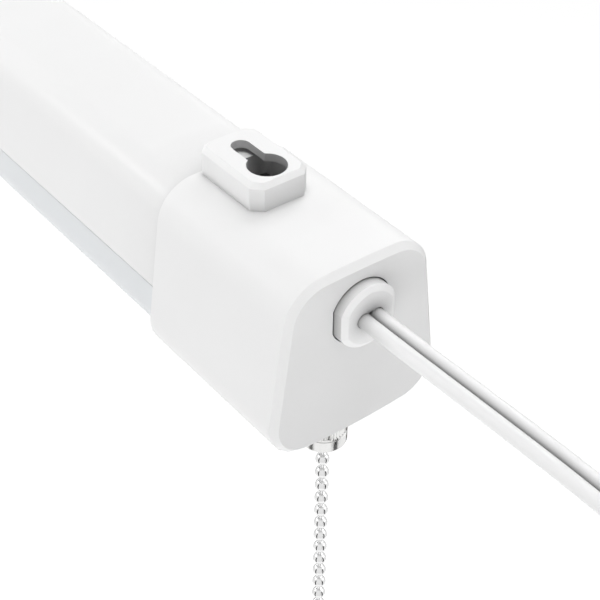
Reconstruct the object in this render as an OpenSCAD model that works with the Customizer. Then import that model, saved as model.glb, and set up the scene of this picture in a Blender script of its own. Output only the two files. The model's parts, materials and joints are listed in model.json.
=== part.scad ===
// Hanging LED shop light with a pull-chain switch and a plug-in cord.
// Lengths are millimetres. +X runs along the light towards its cord end and +Z is up.
// The origin lies midway between the two round keyhole entries, on top of the hanging lugs.

/* [Light] */
// Length from end face to end face
light_len = 1200; // [900:10:1500]

/* [End caps] */
// Length of an end cap along the light
cap_len = 52.6; // [50:0.1:64]
// Width of a cap's top before its corners are rounded
cap_top_w = 39.6; // [38:0.1:44]
// Width of a cap's bottom before its corners are rounded
cap_bottom_w = 53.6; // [50:0.1:60]
// Height of a cap
cap_h = 50.1; // [49.5:0.1:56]
// Radius of a cap's four long corners
cap_corner_r = 11; // [9:0.5:13]
// Wall of a cap
cap_wall = 2.5; // [1.6:0.1:2.6]
// Bevel round a cap's end face
cap_bevel = 1.6; // [0.8:0.1:1.8]
// How far the housing goes into a cap
cap_overlap = 9; // [7:0.5:12]
// Length of the latch on each side of a cap
latch_len = 5; // [3:0.5:6]
// Height of that latch
latch_h = 10; // [6:0.5:12]
// How far the latch stands in from the cap's wall
latch_depth = 1.2; // [0.8:0.1:1.5]

/* [Hanging lugs] */
// Length of a lug along the light
lug_len = 24.8; // [24:0.1:27]
// Width of a lug
lug_w = 16.8; // [15.5:0.1:20]
// Height of a lug above the cap
lug_h = 7.2; // [6.6:0.1:9]
// Cut across a lug's upright corners
lug_corner = 2.6; // [1:0.1:3]
// Bevel round a lug's top
lug_bevel = 1.2; // [0.6:0.1:1.4]
// Distance from a lug's middle to the end face beside it on the cord end
lug_setback = 41.6; // [41:0.1:42]
// Thickness of the plate that the keyhole goes through
keyhole_plate = 2.2; // [1.8:0.1:2.6]
// Radius of the round entry that a screw head goes in by
entry_r = 5; // [4.5:0.1:5.2]
// Width of the slot that holds the screw
slot_w = 5; // [4.2:0.1:5.4]
// Distance from the entry to the slot's round end
slot_run = 10.6; // [9.5:0.1:10.8]
// Distance from the lug's middle to the entry
entry_shift = 5.4; // [5:0.1:5.6]
// Radius of the space for the screw head under the plate
head_space_r = 4.6; // [4:0.1:4.8]
// Depth of that space below the plate
head_space_h = 3.4; // [3:0.1:3.6]
// Depth of the closed well under the cord end's round entry
cord_well = 11; // [10:0.1:11.5]
// Wall of that well inside the cap
well_wall = 1.4; // [1:0.1:1.6]

/* [Housing and diffuser] */
// Step from the cap's outside in to the body's outside
body_step = 2.7; // [1.8:0.1:3]
// Wall of the housing
housing_wall = 1.6; // [1.2:0.1:2]
// Wall of the diffuser
diffuser_wall = 1.8; // [1:0.1:2]
// Height of the diffuser's seam above the cap's underside
seam_h = 18.2; // [17:0.1:20]
// Gap where the diffuser meets the housing
seam_gap = 0.3; // [0.2:0.05:0.4]
// Thickness of the lip that goes up inside the housing
lip_wall = 1.2; // [1:0.1:1.4]
// Height of that lip
lip_h = 3.5; // [3:0.1:4]
// Height of the thick foot below the lip
lip_foot = 2.5; // [2:0.1:3]
// Width of the rails that hold the gear tray
rail_w = 3; // [2.5:0.1:3.5]
// Thickness of those rails
rail_t = 1.2; // [1:0.1:1.5]

/* [Gear tray and light boards] */
// Height of the gear tray above the seam
tray_rise = 6; // [5.5:0.1:6.5]
// Sheet thickness of the tray
tray_t = 1.2; // [1:0.1:1.5]
// Height of the tray's two upstands
upstand_h = 5; // [3:0.1:6]
// Clearance of a sliding sheet in its slot
slide_gap = 0.2; // [0.15:0.05:0.3]
// Distance from a light board's outer end to the end of the housing
board_end_gap = 7.5; // [6:0.5:40]
// Width of a light board
board_w = 18; // [14:0.5:22]
// Thickness of a light board
board_t = 1.2; // [1:0.1:1.6]
// Gap between the two light boards
board_gap = 8; // [6:0.5:12]
// Number of light-emitting chips on a board
chip_count = 48; // [24:1:60]
// Size of a chip along the light
chip_len = 2.8; // [2:0.1:3.5]
// Size of a chip across the light
chip_w = 3.5; // [2:0.1:5]
// Height of a chip
chip_h = 0.7; // [0.5:0.1:1]
// Radius of a board screw's shank
screw_r = 1.25; // [1:0.05:1.5]
// Radius of a board screw's head
screw_head_r = 2.6; // [2.2:0.1:3]
// Height of a board screw's head
screw_head_h = 1.5; // [1.2:0.1:2]
// Number of screws in a board
screw_count = 5; // [3:1:7]
// Distance from a board's end to its first screw
screw_inset = 6; // [5:0.5:7]
// Distance from a board's end to its first chip
chip_inset = 10; // [9:0.5:12]

/* [Driver] */
// Length of the driver's circuit board
driver_len = 120; // [116:1:140]
// Width of that circuit board
driver_w = 26; // [24.5:0.1:26.5]
// Thickness of that circuit board
driver_t = 1.6; // [1.2:0.1:2]
// Distance from the housing's cord end to the driver
driver_inset = 20; // [16:0.5:24]
// Height of the posts under the driver board
post_h = 3; // [2:0.1:3.2]
// Radius of those posts
post_r = 2.2; // [1.8:0.1:2.6]
// Distance from the driver board's edges to its posts
post_inset = 4; // [3:0.1:5]
// Thickness of the insulating channel round the driver
insulator_t = 0.5; // [0.4:0.05:0.6]
// Height of that channel's sides
insulator_h = 9; // [6:0.5:12]
// Distance behind the driver of the tray's hole for the light boards' leads
lead_hole_back = 30; // [22:0.5:60]
// Radius of that hole
lead_hole_r = 3.8; // [3.4:0.1:4]
// Distance of that hole from the light's middle plane, clear of the board screws
lead_hole_y = 5.8; // [5.6:0.1:6.2]
// Distance between two leads side by side
lead_pitch = 3; // [2.8:0.1:3.2]

/* [Driver parts] */
// Distance from the driver board's end to the transformer
transformer_at = 40; // [38:0.5:42]
// Length of the transformer
transformer_len = 18; // [14:0.5:20]
// Width of the transformer
transformer_w = 17; // [14:0.5:20]
// Height of the transformer
transformer_h = 12; // [10:0.5:14]
// Thickness of its core
core_t = 3; // [2:0.1:3.5]
// Distance from the driver board's end to the bulk capacitor
bulk_capacitor_at = 64; // [62:0.5:66]
// Length of the bulk capacitor
bulk_capacitor_len = 18; // [14:0.5:20]
// Radius of the bulk capacitor
bulk_capacitor_r = 5; // [4:0.1:5.5]
// Distance from the driver board's end to the output capacitor
output_capacitor_at = 28; // [20:0.5:32]
// Height of the output capacitor
output_capacitor_h = 11; // [8:0.5:13]
// Radius of the output capacitor
output_capacitor_r = 4; // [3:0.1:5]
// Distance from the driver board's end to the choke
choke_at = 92; // [91:0.5:94]
// Radius of the choke's ring
choke_r = 4.5; // [4:0.1:5]
// Radius of the choke's winding
winding_r = 2.5; // [2:0.1:2.6]
// Distance from the driver board's end to the rectifier
rectifier_at = 86; // [85:0.5:87]
// Length of the rectifier
rectifier_len = 8; // [6:0.5:9]
// Width of the rectifier
rectifier_w = 6; // [4:0.5:6]
// Height of the rectifier
rectifier_h = 3; // [2:0.1:4]
// Distance from the driver board's end to the fuse
fuse_at = 97; // [96:0.5:98]
// Length of the fuse
fuse_len = 11; // [8:0.5:12]
// Radius of the fuse
fuse_r = 2.3; // [2:0.1:2.5]
// Length of a terminal block
block_len = 10; // [8:0.5:11]
// Width of a terminal block
block_w = 15; // [12:0.5:16]
// Height of a terminal block
block_h = 8; // [6:0.5:9]
// Radius of an insulated lead inside the light
lead_r = 1.1; // [0.9:0.05:1.3]

/* [Strain relief] */
// Radius of the strain relief where it fills the end face
relief_r = 8.55; // [8.4:0.05:8.8]
// Distance from its middle to each of its two flats
relief_flat = 7.95; // [7.7:0.05:8.2]
// Gap between it and the hole in the cap
relief_gap = 0.3; // [0.2:0.05:0.5]
// Height of the straight part outside the end face
relief_straight = 2.6; // [2:0.1:4]
// Height of the bevel on its front
relief_bevel = 0.9; // [0.6:0.1:1.4]
// Width of that bevel
relief_bevel_w = 1.5; // [1:0.1:1.8]
// Radius of the collar behind the wall
collar_r = 10.5; // [10:0.1:11]
// Thickness of that collar
collar_t = 2; // [1.5:0.1:2.5]
// Radius of the barrel behind the collar
barrel_r = 7.5; // [7:0.1:8]
// Length of that barrel
barrel_len = 12; // [10:0.5:12]
// Thickness of the key that locks it in the cap
key_t = 2; // [1.5:0.1:2.5]
// Distance of the cord below the cap's top
cord_below_top = 13.6; // [13.2:0.1:13.8]

/* [Cord and plug] */
// Diameter of one core of the flat two-core cord
core_d = 3.7; // [3.4:0.1:3.8]
// Clearance round the cord in the strain relief
cord_clear = 0.2; // [0.15:0.05:0.3]
// Middle radius of the innermost turn of the coil
coil_in_r = 29; // [28:0.1:34]
// Distance between turns that lie on each other
coil_step = 4.3; // [4.3:0.05:4.8]
// Number of turns in the coil
coil_turns = 6; // [4:2:8]
// Distance between the coil's two layers
layer_step = 8; // [8:0.1:8.6]
// Thickness of the tie round the coil
tie_t = 1; // [0.8:0.1:1.4]
// Width of that tie
tie_w = 9; // [6:0.5:12]
// Clearance between the tie and the coil
tie_clear = 0.4; // [0.3:0.05:0.6]
// Length of the free end between the coil and the plug
tail_len = 44; // [40:1:60]
// Width of the plug across its blades
plug_w = 25; // [23:0.5:28]
// Thickness of the plug
plug_t = 14; // [12:0.5:16]
// Length of the plug without its blades and neck
plug_len = 20; // [18:0.5:26]
// Length of the plug's neck
plug_neck = 9; // [7:0.5:12]
// Distance between the plug's blades
blade_pitch = 12.7; // [12.7]
// Width of the narrow blade
blade_w = 6.35; // [6.35]
// Width of the broad blade
broad_blade_w = 7.9; // [7.9]
// Thickness of a blade
blade_t = 1.5; // [1.5]
// Length of a blade outside the plug
blade_len = 17; // [15.9:0.1:18.3]
// Depth of a blade inside the plug
blade_root = 8; // [6:0.5:10]

/* [Pull-chain switch] */
// Distance from the end face back to the chain
chain_setback = 12.4; // [12:0.1:14]
// Length of the switch case along the light
switch_len = 22.5; // [22:0.5:26]
// How far the case reaches in front of the chain
switch_front = 8.5; // [8:0.1:8.8]
// Width of the switch case
switch_w = 21; // [20:0.5:26]
// Wall of the switch case
switch_wall = 1.2; // [1:0.1:1.4]
// Height of the case without its cover
switch_h = 21; // [20.5:0.1:21.2]
// Radius of the chain's path round the drum
drum_path_r = 5; // [5:0.1:5.2]
// Radius of the drum's two flanges
drum_r = 6.2; // [5.8:0.1:6.3]
// Thickness of a drum flange
drum_flange_t = 1; // [0.8:0.1:1.2]
// Radius of the switch axle
axle_r = 1.2; // [1:0.05:1.4]
// Radial clearance of what turns on the axle
axle_gap = 0.05; // [0.03:0.01:0.08]
// Radius of the ratchet wheel's rim
ratchet_r = 5.2; // [4.8:0.1:5.4]
// Thickness of the ratchet wheel
ratchet_t = 3; // [2.5:0.1:3.2]
// Wire diameter of the return spring
spring_wire = 0.7; // [0.5:0.05:0.8]
// Middle radius of the return spring
spring_r = 3.4; // [3.2:0.1:3.8]
// Turns of the return spring
spring_turns = 4; // [3:1:4]
// Width of a contact blade at its terminal
contact_w = 3.6; // [2.4:0.1:4]
// Height of a contact blade at its terminal
contact_h = 2.6; // [1.6:0.1:3]
// Outside radius of the threaded nipple
nipple_r = 4.7; // [4.5:0.05:4.8]
// Bore radius of the nipple
nipple_bore_r = 2.5; // [2.3:0.1:2.8]
// Clearance of the nipple in the nut and the bell mouth
thread_gap = 0.05; // [0.03:0.01:0.08]
// Height of the knurled nut under the cap
nut_h = 9.6; // [8.6:0.1:10.2]
// Outside radius of the knurled nut
nut_r = 6.4; // [6.2:0.05:6.6]
// Height of the bell mouth under the nut
mouth_h = 3.5; // [3.2:0.1:4]
// Outside radius of the bell mouth
mouth_r = 6.2; // [6:0.05:6.4]
// Radius of the bell mouth's flared opening
flare_r = 4.2; // [3.8:0.1:4.4]

/* [Bead chain] */
// Diameter of a bead
bead_d = 3.6; // [3.4:0.05:3.7]
// Distance from bead to bead
bead_pitch = 4.83; // [4.6:0.01:4.9]
// Diameter of the wire between beads
link_d = 1.1; // [0.8:0.05:1.3]
// Gap from the bell mouth down to the first free bead's middle
free_bead_drop = 2.9; // [2.5:0.1:3.2]
// Number of beads that hang below the first free bead
hanging_beads = 32; // [12:1:48]
// Gap at the swinging link
swing_gap = 0.15; // [0.1:0.05:0.2]
// Length of the bell at the chain's end
bell_len = 22; // [16:1:30]
// Largest radius of that bell
bell_r = 5; // [4:0.1:6]

/* [Hidden] */
$fn = 48;
eps = 0.01;
past = 1;              // how far a cut runs past the face it opens
touch = 0.2;           // gap between a lead's end and what it is fixed to
drum_gap = 0.4;        // running gap beside the beads, and between the drum and its ratchet wheel

// Heights
cap_top_z = -lug_h;
cap_bottom_z = cap_top_z - cap_h;
cap_floor_z = cap_bottom_z + cap_wall;
seam_z = cap_bottom_z + seam_h;
tray_z = seam_z + tray_rise;
board_z = tray_z - board_t;
driver_z = tray_z + tray_t + insulator_t + post_h;
parts_z = driver_z + driver_t;
lead_z = parts_z + block_h / 2;
block_y = driver_w / 8;
cord_z = cap_top_z - cord_below_top;
plain_well = lug_h;    // shallow, because the housing lies under it

// Places along the light
cord_face_x = light_len / 2 - entry_shift;
plain_face_x = -light_len / 2 - entry_shift;
body_x0 = plain_face_x + cap_len - cap_overlap;
body_x1 = cord_face_x - cap_len + cap_overlap;
lug_cord_x = cord_face_x - lug_setback;
lug_plain_x = plain_face_x + lug_setback;
boards_x = (body_x0 + body_x1) / 2;
board_len = (body_x1 - body_x0 - board_gap) / 2 - board_end_gap;
board_cord_x = boards_x + board_gap / 2;
board_plain_x = boards_x - board_gap / 2 - board_len;
driver_x1 = body_x1 - driver_inset;
driver_x0 = driver_x1 - driver_len;
lead_hole_x = driver_x0 - lead_hole_back;
chain_x = cord_face_x - chain_setback;
relief_back_x = cord_face_x - cap_wall - collar_t - barrel_len;
lead_bend = 12;

// The cap's outline, a trapezium with round corners that is narrow at the top
tilt = atan((cap_bottom_w - cap_top_w) / 2 / cap_h);
function half_w(z, inset) = cap_top_w / 2 + (cap_top_z - z) * tan(tilt) - inset / cos(tilt);
corner_top = [half_w(cap_top_z - cap_corner_r, cap_corner_r), cap_top_z - cap_corner_r];
corner_bottom = [half_w(cap_bottom_z + cap_corner_r, cap_corner_r), cap_bottom_z + cap_corner_r];
// Each straight side as its start, the direction it faces and its length
side_dir = [cos(tilt), sin(tilt)];
side_len = norm(corner_top - corner_bottom);
sides = [
    [corner_top + [0, cap_corner_r], 90, 2 * corner_top[0]],
    [corner_bottom + cap_corner_r * side_dir, tilt, side_len],
    [[-corner_bottom[0], corner_bottom[1] - cap_corner_r], -90, 2 * corner_bottom[0]],
    [[-corner_top[0] - cap_corner_r * side_dir[0], corner_top[1] + cap_corner_r * side_dir[1]],
        180 - tilt, side_len]];

// Tray and rails
tray_half_w = half_w(tray_z + tray_t, body_step + housing_wall) - slide_gap;
rail_edge_y = tray_half_w + slide_gap - rail_w;
insulator_half_w = driver_w / 2 + 1 + insulator_t;
upstand_y = insulator_half_w + slide_gap;
latch_z = tray_z + tray_t + rail_t + past;
diffuser_inner = body_step + diffuser_wall;
lip_outer = body_step + housing_wall + seam_gap;
lip_inner = lip_outer + lip_wall;

// Switch
nipple_z1 = cap_floor_z + switch_wall;
nut_z0 = cap_bottom_z - nut_h;
mouth_z1 = nut_z0 - seam_gap;
mouth_z0 = mouth_z1 - mouth_h;
nipple_z0 = mouth_z0 + mouth_h / 2;
nipple_flange_r = nipple_r + 1.5;
nipple_flange_t = 1;
pivot_z = mouth_z0 - free_bead_drop;
beads_in_switch = 6;
drum_z = pivot_z + beads_in_switch * bead_pitch;
drum_x = chain_x - drum_path_r;
groove_r = drum_path_r - bead_d / 2 - swing_gap;
groove_half_w = bead_d / 2 + drum_gap;
drum_half_w = groove_half_w + drum_flange_t;
ratchet_y = drum_half_w + drum_gap;
spring_y = -drum_half_w - 0.5;
case_x1 = chain_x + switch_front;
case_x0 = case_x1 - switch_len;
case_top_z = cap_floor_z + switch_h;
terminal_h = 15;       // height of the switch's terminals above the cap's floor
terminal_z = cap_floor_z + terminal_h;
terminal_y = 5;

// Cord route, in steps from the point where the cord leaves the strain relief
cord_w = 2 * core_d;
cord_exit = [cord_face_x + relief_straight + relief_bevel, 0, cord_z];
route = [[0, 0, 0], [4, 0, 0], [16, 0, 0.2], [32, 0, 0.6], [48, 0, 1], [64, 0, 1.2], [80, 0, 0.8],
    [87, 0, -0.6], [94, 0, -3.6], [100, 0, -8], [104, 0, -14], [107, 0, -21], [108, 0, -28],
    [108, 0, -42], [108, 0, -56], [108, 0, -70]];
run_end = cord_exit + route[len(route) - 1];
coil_out_r = coil_in_r + coil_step * coil_turns / 2;
coil_mid = run_end + [coil_out_r, 0, -cord_w];
tail_start = [run_end[0], layer_step, coil_mid[2] - cord_w];
plug_top = tail_start - [0, 0, tail_len];
plug_face_z = plug_top[2] - plug_neck - plug_len;
loop_rings = 24;

// A section across the flat cord, as [thin way, wide way], in the order that a tube's rings take
run_section = core_d * [[0.5, 0.6], [0.22, 1], [-0.22, 1], [-0.5, 0.6],
    [-0.5, -0.6], [-0.22, -1], [0.22, -1], [0.5, -0.6]];
coil_section = core_d * [[0.5, 0.55], [0, 1], [-0.5, 0.55], [-0.5, -0.55], [0, -1], [0.5, -0.55]];

function unit(v) = v / norm(v);
function direction(path, i) = unit(path[min(i + 1, len(path) - 1)] - path[max(i - 1, 0)]);
// The thin way of a flat cord stays in the plane of the route, and the wide way stays along Y
function flat_ring(path, i, section) =
    let (t = direction(path, i), n = unit([-t[2], 0, t[0]]))
    [for (s = section) path[i] + s[0] * n + [0, s[1], 0]];
function round_ring(path, i, r, count, side) =
    let (t = direction(path, i), n = unit(cross(t, side)), w = cross(n, t))
    [for (j = [0:count - 1]) path[i] + r * (n * cos(360 * j / count) + w * sin(360 * j / count))];
function tube_faces(rings, count) = concat(
    [[for (j = [count - 1:-1:0]) j]],
    [[for (j = [0:count - 1]) (rings - 1) * count + j]],
    [for (i = [0:rings - 2], j = [0:count - 1]) [i * count + j, i * count + (j + 1) % count,
        (i + 1) * count + (j + 1) % count]],
    [for (i = [0:rings - 2], j = [0:count - 1]) [i * count + j, (i + 1) * count + (j + 1) % count,
        (i + 1) * count + j]]);
function bezier(a, b, c, d, t) =
    pow(1 - t, 3) * a + 3 * pow(1 - t, 2) * t * b + 3 * (1 - t) * t * t * c + pow(t, 3) * d;
function ease(t) = t <= 0 ? 0 : t >= 1 ? 1 : t * t * (3 - 2 * t);

// The coil winds in on one layer, climbs in half a turn and winds out on the other
function coil_point(turn) =
    let (r = coil_in_r + coil_step * abs(turn - coil_turns / 2), a = 180 + 360 * turn)
    coil_mid + [r * cos(a), layer_step * ease(2 * (turn - coil_turns / 2) + 0.5), r * sin(a)];
coil_path = concat([run_end],
    [for (i = [0:coil_turns * loop_rings]) coil_point(i / loop_rings)],
    [tail_start]);
// Gap between two places on the flat cord, whose cores lie side by side along Y
function cord_gap(p, q) = let (d = p - q)
    norm([d[0], max(abs(d[1]) - core_d, 0), d[2]]) - core_d;
coil_gap = min([for (i = [0:len(coil_path) - 1], j = [i + loop_rings / 2:len(coil_path) - 1])
    cord_gap(coil_path[i], coil_path[j])]);
function path_len(path) =
    let (steps = [for (i = [1:len(path) - 1]) norm(path[i] - path[i - 1])])
    steps * [for (s = steps) 1];
echo(coil_gap_mm = coil_gap);
echo(cord_length_mm = path_len(route) + path_len(coil_path) + tail_len);

// ---- shared shapes ----

module along_x(x0, x1) {
    translate([x0, 0, 0])
        rotate([90, 0, 90])
            linear_extrude(x1 - x0)
                children();
}

// The cap's outline moved inwards by inset, with its corners cut round about the same middles
module outline(inset) {
    r = cap_corner_r - inset;
    top = [half_w(cap_top_z - inset, inset), cap_top_z - inset];
    bottom = [half_w(cap_bottom_z + inset, inset), cap_bottom_z + inset];
    difference() {
        polygon([top, bottom, [-bottom[0], bottom[1]], [-top[0], top[1]]]);
        for (s = [0, 1])
            mirror([s, 0]) {
                corner_cut(corner_top, r, 90, tilt);
                corner_cut(corner_bottom, r, tilt, -90);
            }
    }
}

// What lies outside a corner's arc, between the directions a0 and a1 from its middle
module corner_cut(middle, r, a0, a1) {
    reach = 2 * r;
    ends = [for (a = [a0, a1]) reach * [cos(a), sin(a)]];
    translate(middle)
        difference() {
            polygon([[0, 0], ends[0], ends[0] + ends[1], ends[1]]);
            circle(r);
        }
}

module band(z0, z1) {
    translate([-cap_bottom_w, z0])
        square([2 * cap_bottom_w, z1 - z0]);
}

// Part of the wall between two insets, between two heights
module wall_band(outer, inner, z0, z1) {
    intersection() {
        difference() {
            outline(outer);
            outline(inner);
        }
        band(z0, z1);
    }
}

module block(x, y, z) {
    translate([x[0], y[0], z[0]])
        cube([x[1] - x[0], y[1] - y[0], z[1] - z[0]]);
}

module pin_x(x0, x1, y, z, r) {
    translate([x0, y, z])
        rotate([0, 90, 0])
            cylinder(h = x1 - x0, r = r);
}

module pin_y(x, y0, y1, z, r) {
    translate([x, y1, z])
        rotate([90, 0, 0])
            cylinder(h = y1 - y0, r = r);
}

module flat_tube(path, section) {
    polyhedron([for (i = [0:len(path) - 1], p = flat_ring(path, i, section)) p],
        tube_faces(len(path), len(section)));
}

module round_tube(path, r, count, side) {
    polyhedron([for (i = [0:len(path) - 1], p = round_ring(path, i, r, count, side)) p],
        tube_faces(len(path), count));
}

module lead(a, b, c, d) {
    round_tube([for (i = [0:12]) bezier(a, b, c, d, i / 12)], lead_r, 8, [0, 1, 0]);
}

// ---- end caps ----

// A cap's outside, with the edge of its end face bevelled at 45 degrees; x = 0 is the end face
module cap_body() {
    difference() {
        along_x(-cap_len, 0)
            outline(0);
        for (s = sides)
            translate([0, s[0][0], s[0][1]])
                rotate([s[1], 0, 0])
                    linear_extrude(s[2])
                        polygon([[-cap_bevel, 0], [0, -cap_bevel], [past, -cap_bevel], [past, past],
                            [-cap_bevel, past]]);
        for (s = [0, 1])
            mirror([0, s, 0]) {
                corner_bevel(corner_top, 90, tilt);
                corner_bevel(corner_bottom, tilt, -90);
            }
    }
}

module corner_bevel(middle, a0, a1) {
    ends = [for (a = [a0, a1]) 2 * cap_corner_r * [cos(a), sin(a)]];
    difference() {
        along_x(-cap_bevel, past)
            translate(middle)
                polygon([[0, 0], ends[0], ends[0] + ends[1], ends[1]]);
        translate([-cap_bevel, middle[0], middle[1]])
            rotate([0, 90, 0])
                cylinder(h = cap_bevel + past, r1 = cap_corner_r, r2 = cap_corner_r - cap_bevel - past);
    }
}

module cap_shell() {
    latch_x = -cap_len + cap_overlap / 2;
    difference() {
        cap_body();
        along_x(-cap_len - past, -cap_wall)
            outline(cap_wall);
    }
    along_x(latch_x - latch_len / 2, latch_x + latch_len / 2)
        wall_band(cap_wall / 2, cap_wall + latch_depth, latch_z, latch_z + latch_h);
}

module lug_outline() {
    l = lug_len / 2;
    w = lug_w / 2;
    polygon([[l, w - lug_corner], [l - lug_corner, w], [lug_corner - l, w], [-l, w - lug_corner],
        [-l, lug_corner - w], [lug_corner - l, -w], [l - lug_corner, -w], [l, lug_corner - w]]);
}

// A hanging lug about its own middle, with its bevelled top at z = 0 and a well of the given depth
module lug_block(well) {
    corner_reach = (lug_len + lug_w) / 2 - lug_corner;
    difference() {
        translate([0, 0, cap_top_z - cap_wall / 2])
            linear_extrude(lug_h + cap_wall / 2)
                lug_outline();
        for (a = [0:45:315])
            rotate([0, 0, a])
                translate([a % 90 == 0 ? (a % 180 == 0 ? lug_len : lug_w) / 2
                    : corner_reach / sqrt(2), lug_len, 0])
                    rotate([90, 0, 0])
                        linear_extrude(2 * lug_len)
                            polygon([[-lug_bevel - past, past], [past, past], [past, -lug_bevel - past]]);
    }
    translate([entry_shift, 0, -well - well_wall])
        cylinder(h = well + well_wall - lug_h - cap_wall / 2, r = entry_r + well_wall);
}

// The keyhole's slot points away from the cord end on both lugs
module keyhole_cut(well) {
    slot_x = entry_shift - slot_run;
    translate([entry_shift, 0, -well])
        cylinder(h = well + past, r = entry_r);
    translate([slot_x, 0, -keyhole_plate - past])
        cylinder(h = keyhole_plate + 2 * past, r = slot_w / 2);
    block([slot_x, entry_shift], [-slot_w / 2, slot_w / 2], [-keyhole_plate - past, past]);
    translate([slot_x, 0, -keyhole_plate - head_space_h])
        cylinder(h = head_space_h, r = head_space_r);
    block([slot_x, entry_shift], [-head_space_r, head_space_r],
        [-keyhole_plate - head_space_h, -keyhole_plate]);
}

module relief_shape(r, flat) {
    intersection() {
        circle(r);
        square([2 * flat, 2 * r + 2 * past], center = true);
    }
}

// Two posts behind the end face hook over the key of the strain relief
module relief_posts() {
    post_t = 2;
    hook_t = 1.5;
    half_h = 6;
    post_y0 = collar_r + 2 * slide_gap;
    hook_x = -cap_wall - collar_t - key_t - slide_gap;
    for (s = [0, 1])
        mirror([0, s, 0]) {
            block([hook_x - hook_t, -cap_wall / 2], [post_y0, post_y0 + post_t],
                [cord_z - half_h, cord_z + half_h]);
            block([hook_x - hook_t, hook_x], [barrel_r + post_t, post_y0 + eps],
                [cord_z - half_h, cord_z + half_h]);
        }
}

module end_cap_cord() {
    color("white")
        difference() {
            union() {
                translate([cord_face_x, 0, 0]) {
                    cap_shell();
                    relief_posts();
                }
                translate([lug_cord_x, 0, 0])
                    lug_block(cord_well);
            }
            translate([lug_cord_x, 0, 0])
                keyhole_cut(cord_well);
            translate([0, 0, cord_z])
                along_x(cord_face_x - cap_wall - past, cord_face_x + past)
                    relief_shape(relief_r + relief_gap, relief_flat + relief_gap);
            translate([chain_x, 0, cap_bottom_z - past])
                cylinder(h = cap_wall + 2 * past, r = nipple_r + 0.3);
        }
}

module end_cap_plain() {
    color("white")
        difference() {
            union() {
                translate([plain_face_x, 0, 0])
                    mirror([1, 0, 0])
                        cap_shell();
                translate([lug_plain_x, 0, 0])
                    lug_block(plain_well);
            }
            translate([lug_plain_x, 0, 0])
                keyhole_cut(plain_well);
        }
}

// ---- housing, diffuser and tray ----

module housing() {
    rail_top_z = tray_z + tray_t + slide_gap;
    rail_bottom_z = tray_z - slide_gap - rail_t;
    window_len = latch_len + 2 * slide_gap;
    color("white")
        difference() {
            along_x(body_x0, body_x1) {
                wall_band(body_step, body_step + housing_wall, seam_z, cap_top_z);
                for (z = [rail_top_z, rail_bottom_z])
                    intersection() {
                        outline(body_step + housing_wall / 2);
                        difference() {
                            band(z, z + rail_t);
                            translate([-rail_edge_y, z - past])
                                square([2 * rail_edge_y, rail_t + 2 * past]);
                        }
                    }
            }
            for (x = [body_x0 + cap_overlap / 2, body_x1 - cap_overlap / 2])
                along_x(x - window_len / 2, x + window_len / 2)
                    wall_band(0, body_step + housing_wall + past, latch_z - slide_gap,
                        latch_z + latch_h + slide_gap);
        }
}

module diffuser() {
    color("aliceblue")
        along_x(body_x0, body_x1) {
            wall_band(body_step, diffuser_inner, cap_bottom_z, seam_z - seam_gap);
            wall_band(body_step, lip_inner, seam_z - seam_gap - lip_foot, seam_z - seam_gap);
            wall_band(lip_outer, lip_inner, seam_z - seam_gap - lip_foot, seam_z + lip_h);
        }
}

function screw_x(board_x, i) =
    board_x + screw_inset + i * (board_len - 2 * screw_inset) / (screw_count - 1);

module screw_holes(r) {
    for (x = [board_cord_x, board_plain_x], i = [0:screw_count - 1])
        translate([screw_x(x, i), 0, board_z - past])
            cylinder(h = board_t + tray_t + 2 * past, r = r);
}

module gear_tray() {
    color("gainsboro")
        difference() {
            along_x(body_x0 + 1, body_x1 - 1) {
                translate([-tray_half_w, tray_z])
                    square([2 * tray_half_w, tray_t]);
                for (y = [-upstand_y - tray_t, upstand_y])
                    translate([y, tray_z])
                        square([tray_t, tray_t + upstand_h]);
            }
            screw_holes(screw_r + 0.1);
            translate([lead_hole_x, lead_hole_y, tray_z - past])
                cylinder(h = tray_t + 2 * past, r = lead_hole_r);
        }
}

module light_board(x) {
    color("ivory")
        difference() {
            block([x, x + board_len], [-board_w / 2, board_w / 2], [board_z, board_z + board_t]);
            screw_holes(screw_r + 0.1);
        }
}

// The chips stand in one row on each side of the screws
module chips(x) {
    pitch = (board_len - 2 * chip_inset) / (chip_count - 1);
    color("lightyellow")
        for (i = [0:chip_count - 1])
            translate([x + chip_inset + i * pitch - chip_len / 2,
                (i % 2 == 0 ? 1 : -1) * board_w / 4 - chip_w / 2, board_z - chip_h])
                cube([chip_len, chip_w, chip_h]);
}

module board_screws() {
    color("silver")
        for (x = [board_cord_x, board_plain_x], i = [0:screw_count - 1])
            translate([screw_x(x, i), 0, board_z]) {
                cylinder(h = board_t + tray_t, r = screw_r);
                difference() {
                    translate([0, 0, -screw_head_h])
                        cylinder(h = screw_head_h, r = screw_head_r);
                    for (a = [0, 90])
                        rotate([0, 0, a])
                            translate([-screw_head_r * 0.6, -0.3, -screw_head_h - past])
                                cube([screw_head_r * 1.2, 0.6, screw_head_h * 0.6 + past]);
                }
            }
}

// A small bridge that carries the current from one board to the next
module board_link() {
    color("white")
        translate([boards_x - board_gap / 2 - 4, 3, board_z - 3])
            difference() {
                cube([board_gap + 8, 5, 3]);
                translate([3.5, -past, -past])
                    cube([board_gap + 1, 5 + 2 * past, 2]);
            }
}

// ---- driver ----

module driver_insulator() {
    inner_half_w = insulator_half_w - insulator_t;
    color("lightsteelblue")
        along_x(driver_x0 - 3, driver_x1 + 3)
            translate([0, tray_z + tray_t])
                difference() {
                    translate([-insulator_half_w, 0])
                        square([2 * insulator_half_w, insulator_h]);
                    translate([-inner_half_w, insulator_t])
                        square([2 * inner_half_w, insulator_h]);
                }
}

module driver_posts() {
    color("white")
        for (x = [driver_x0 + post_inset, driver_x1 - post_inset], s = [-1, 1])
            translate([x, s * (driver_w / 2 - post_inset), driver_z - post_h])
                cylinder(h = post_h, r = post_r);
}

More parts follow.
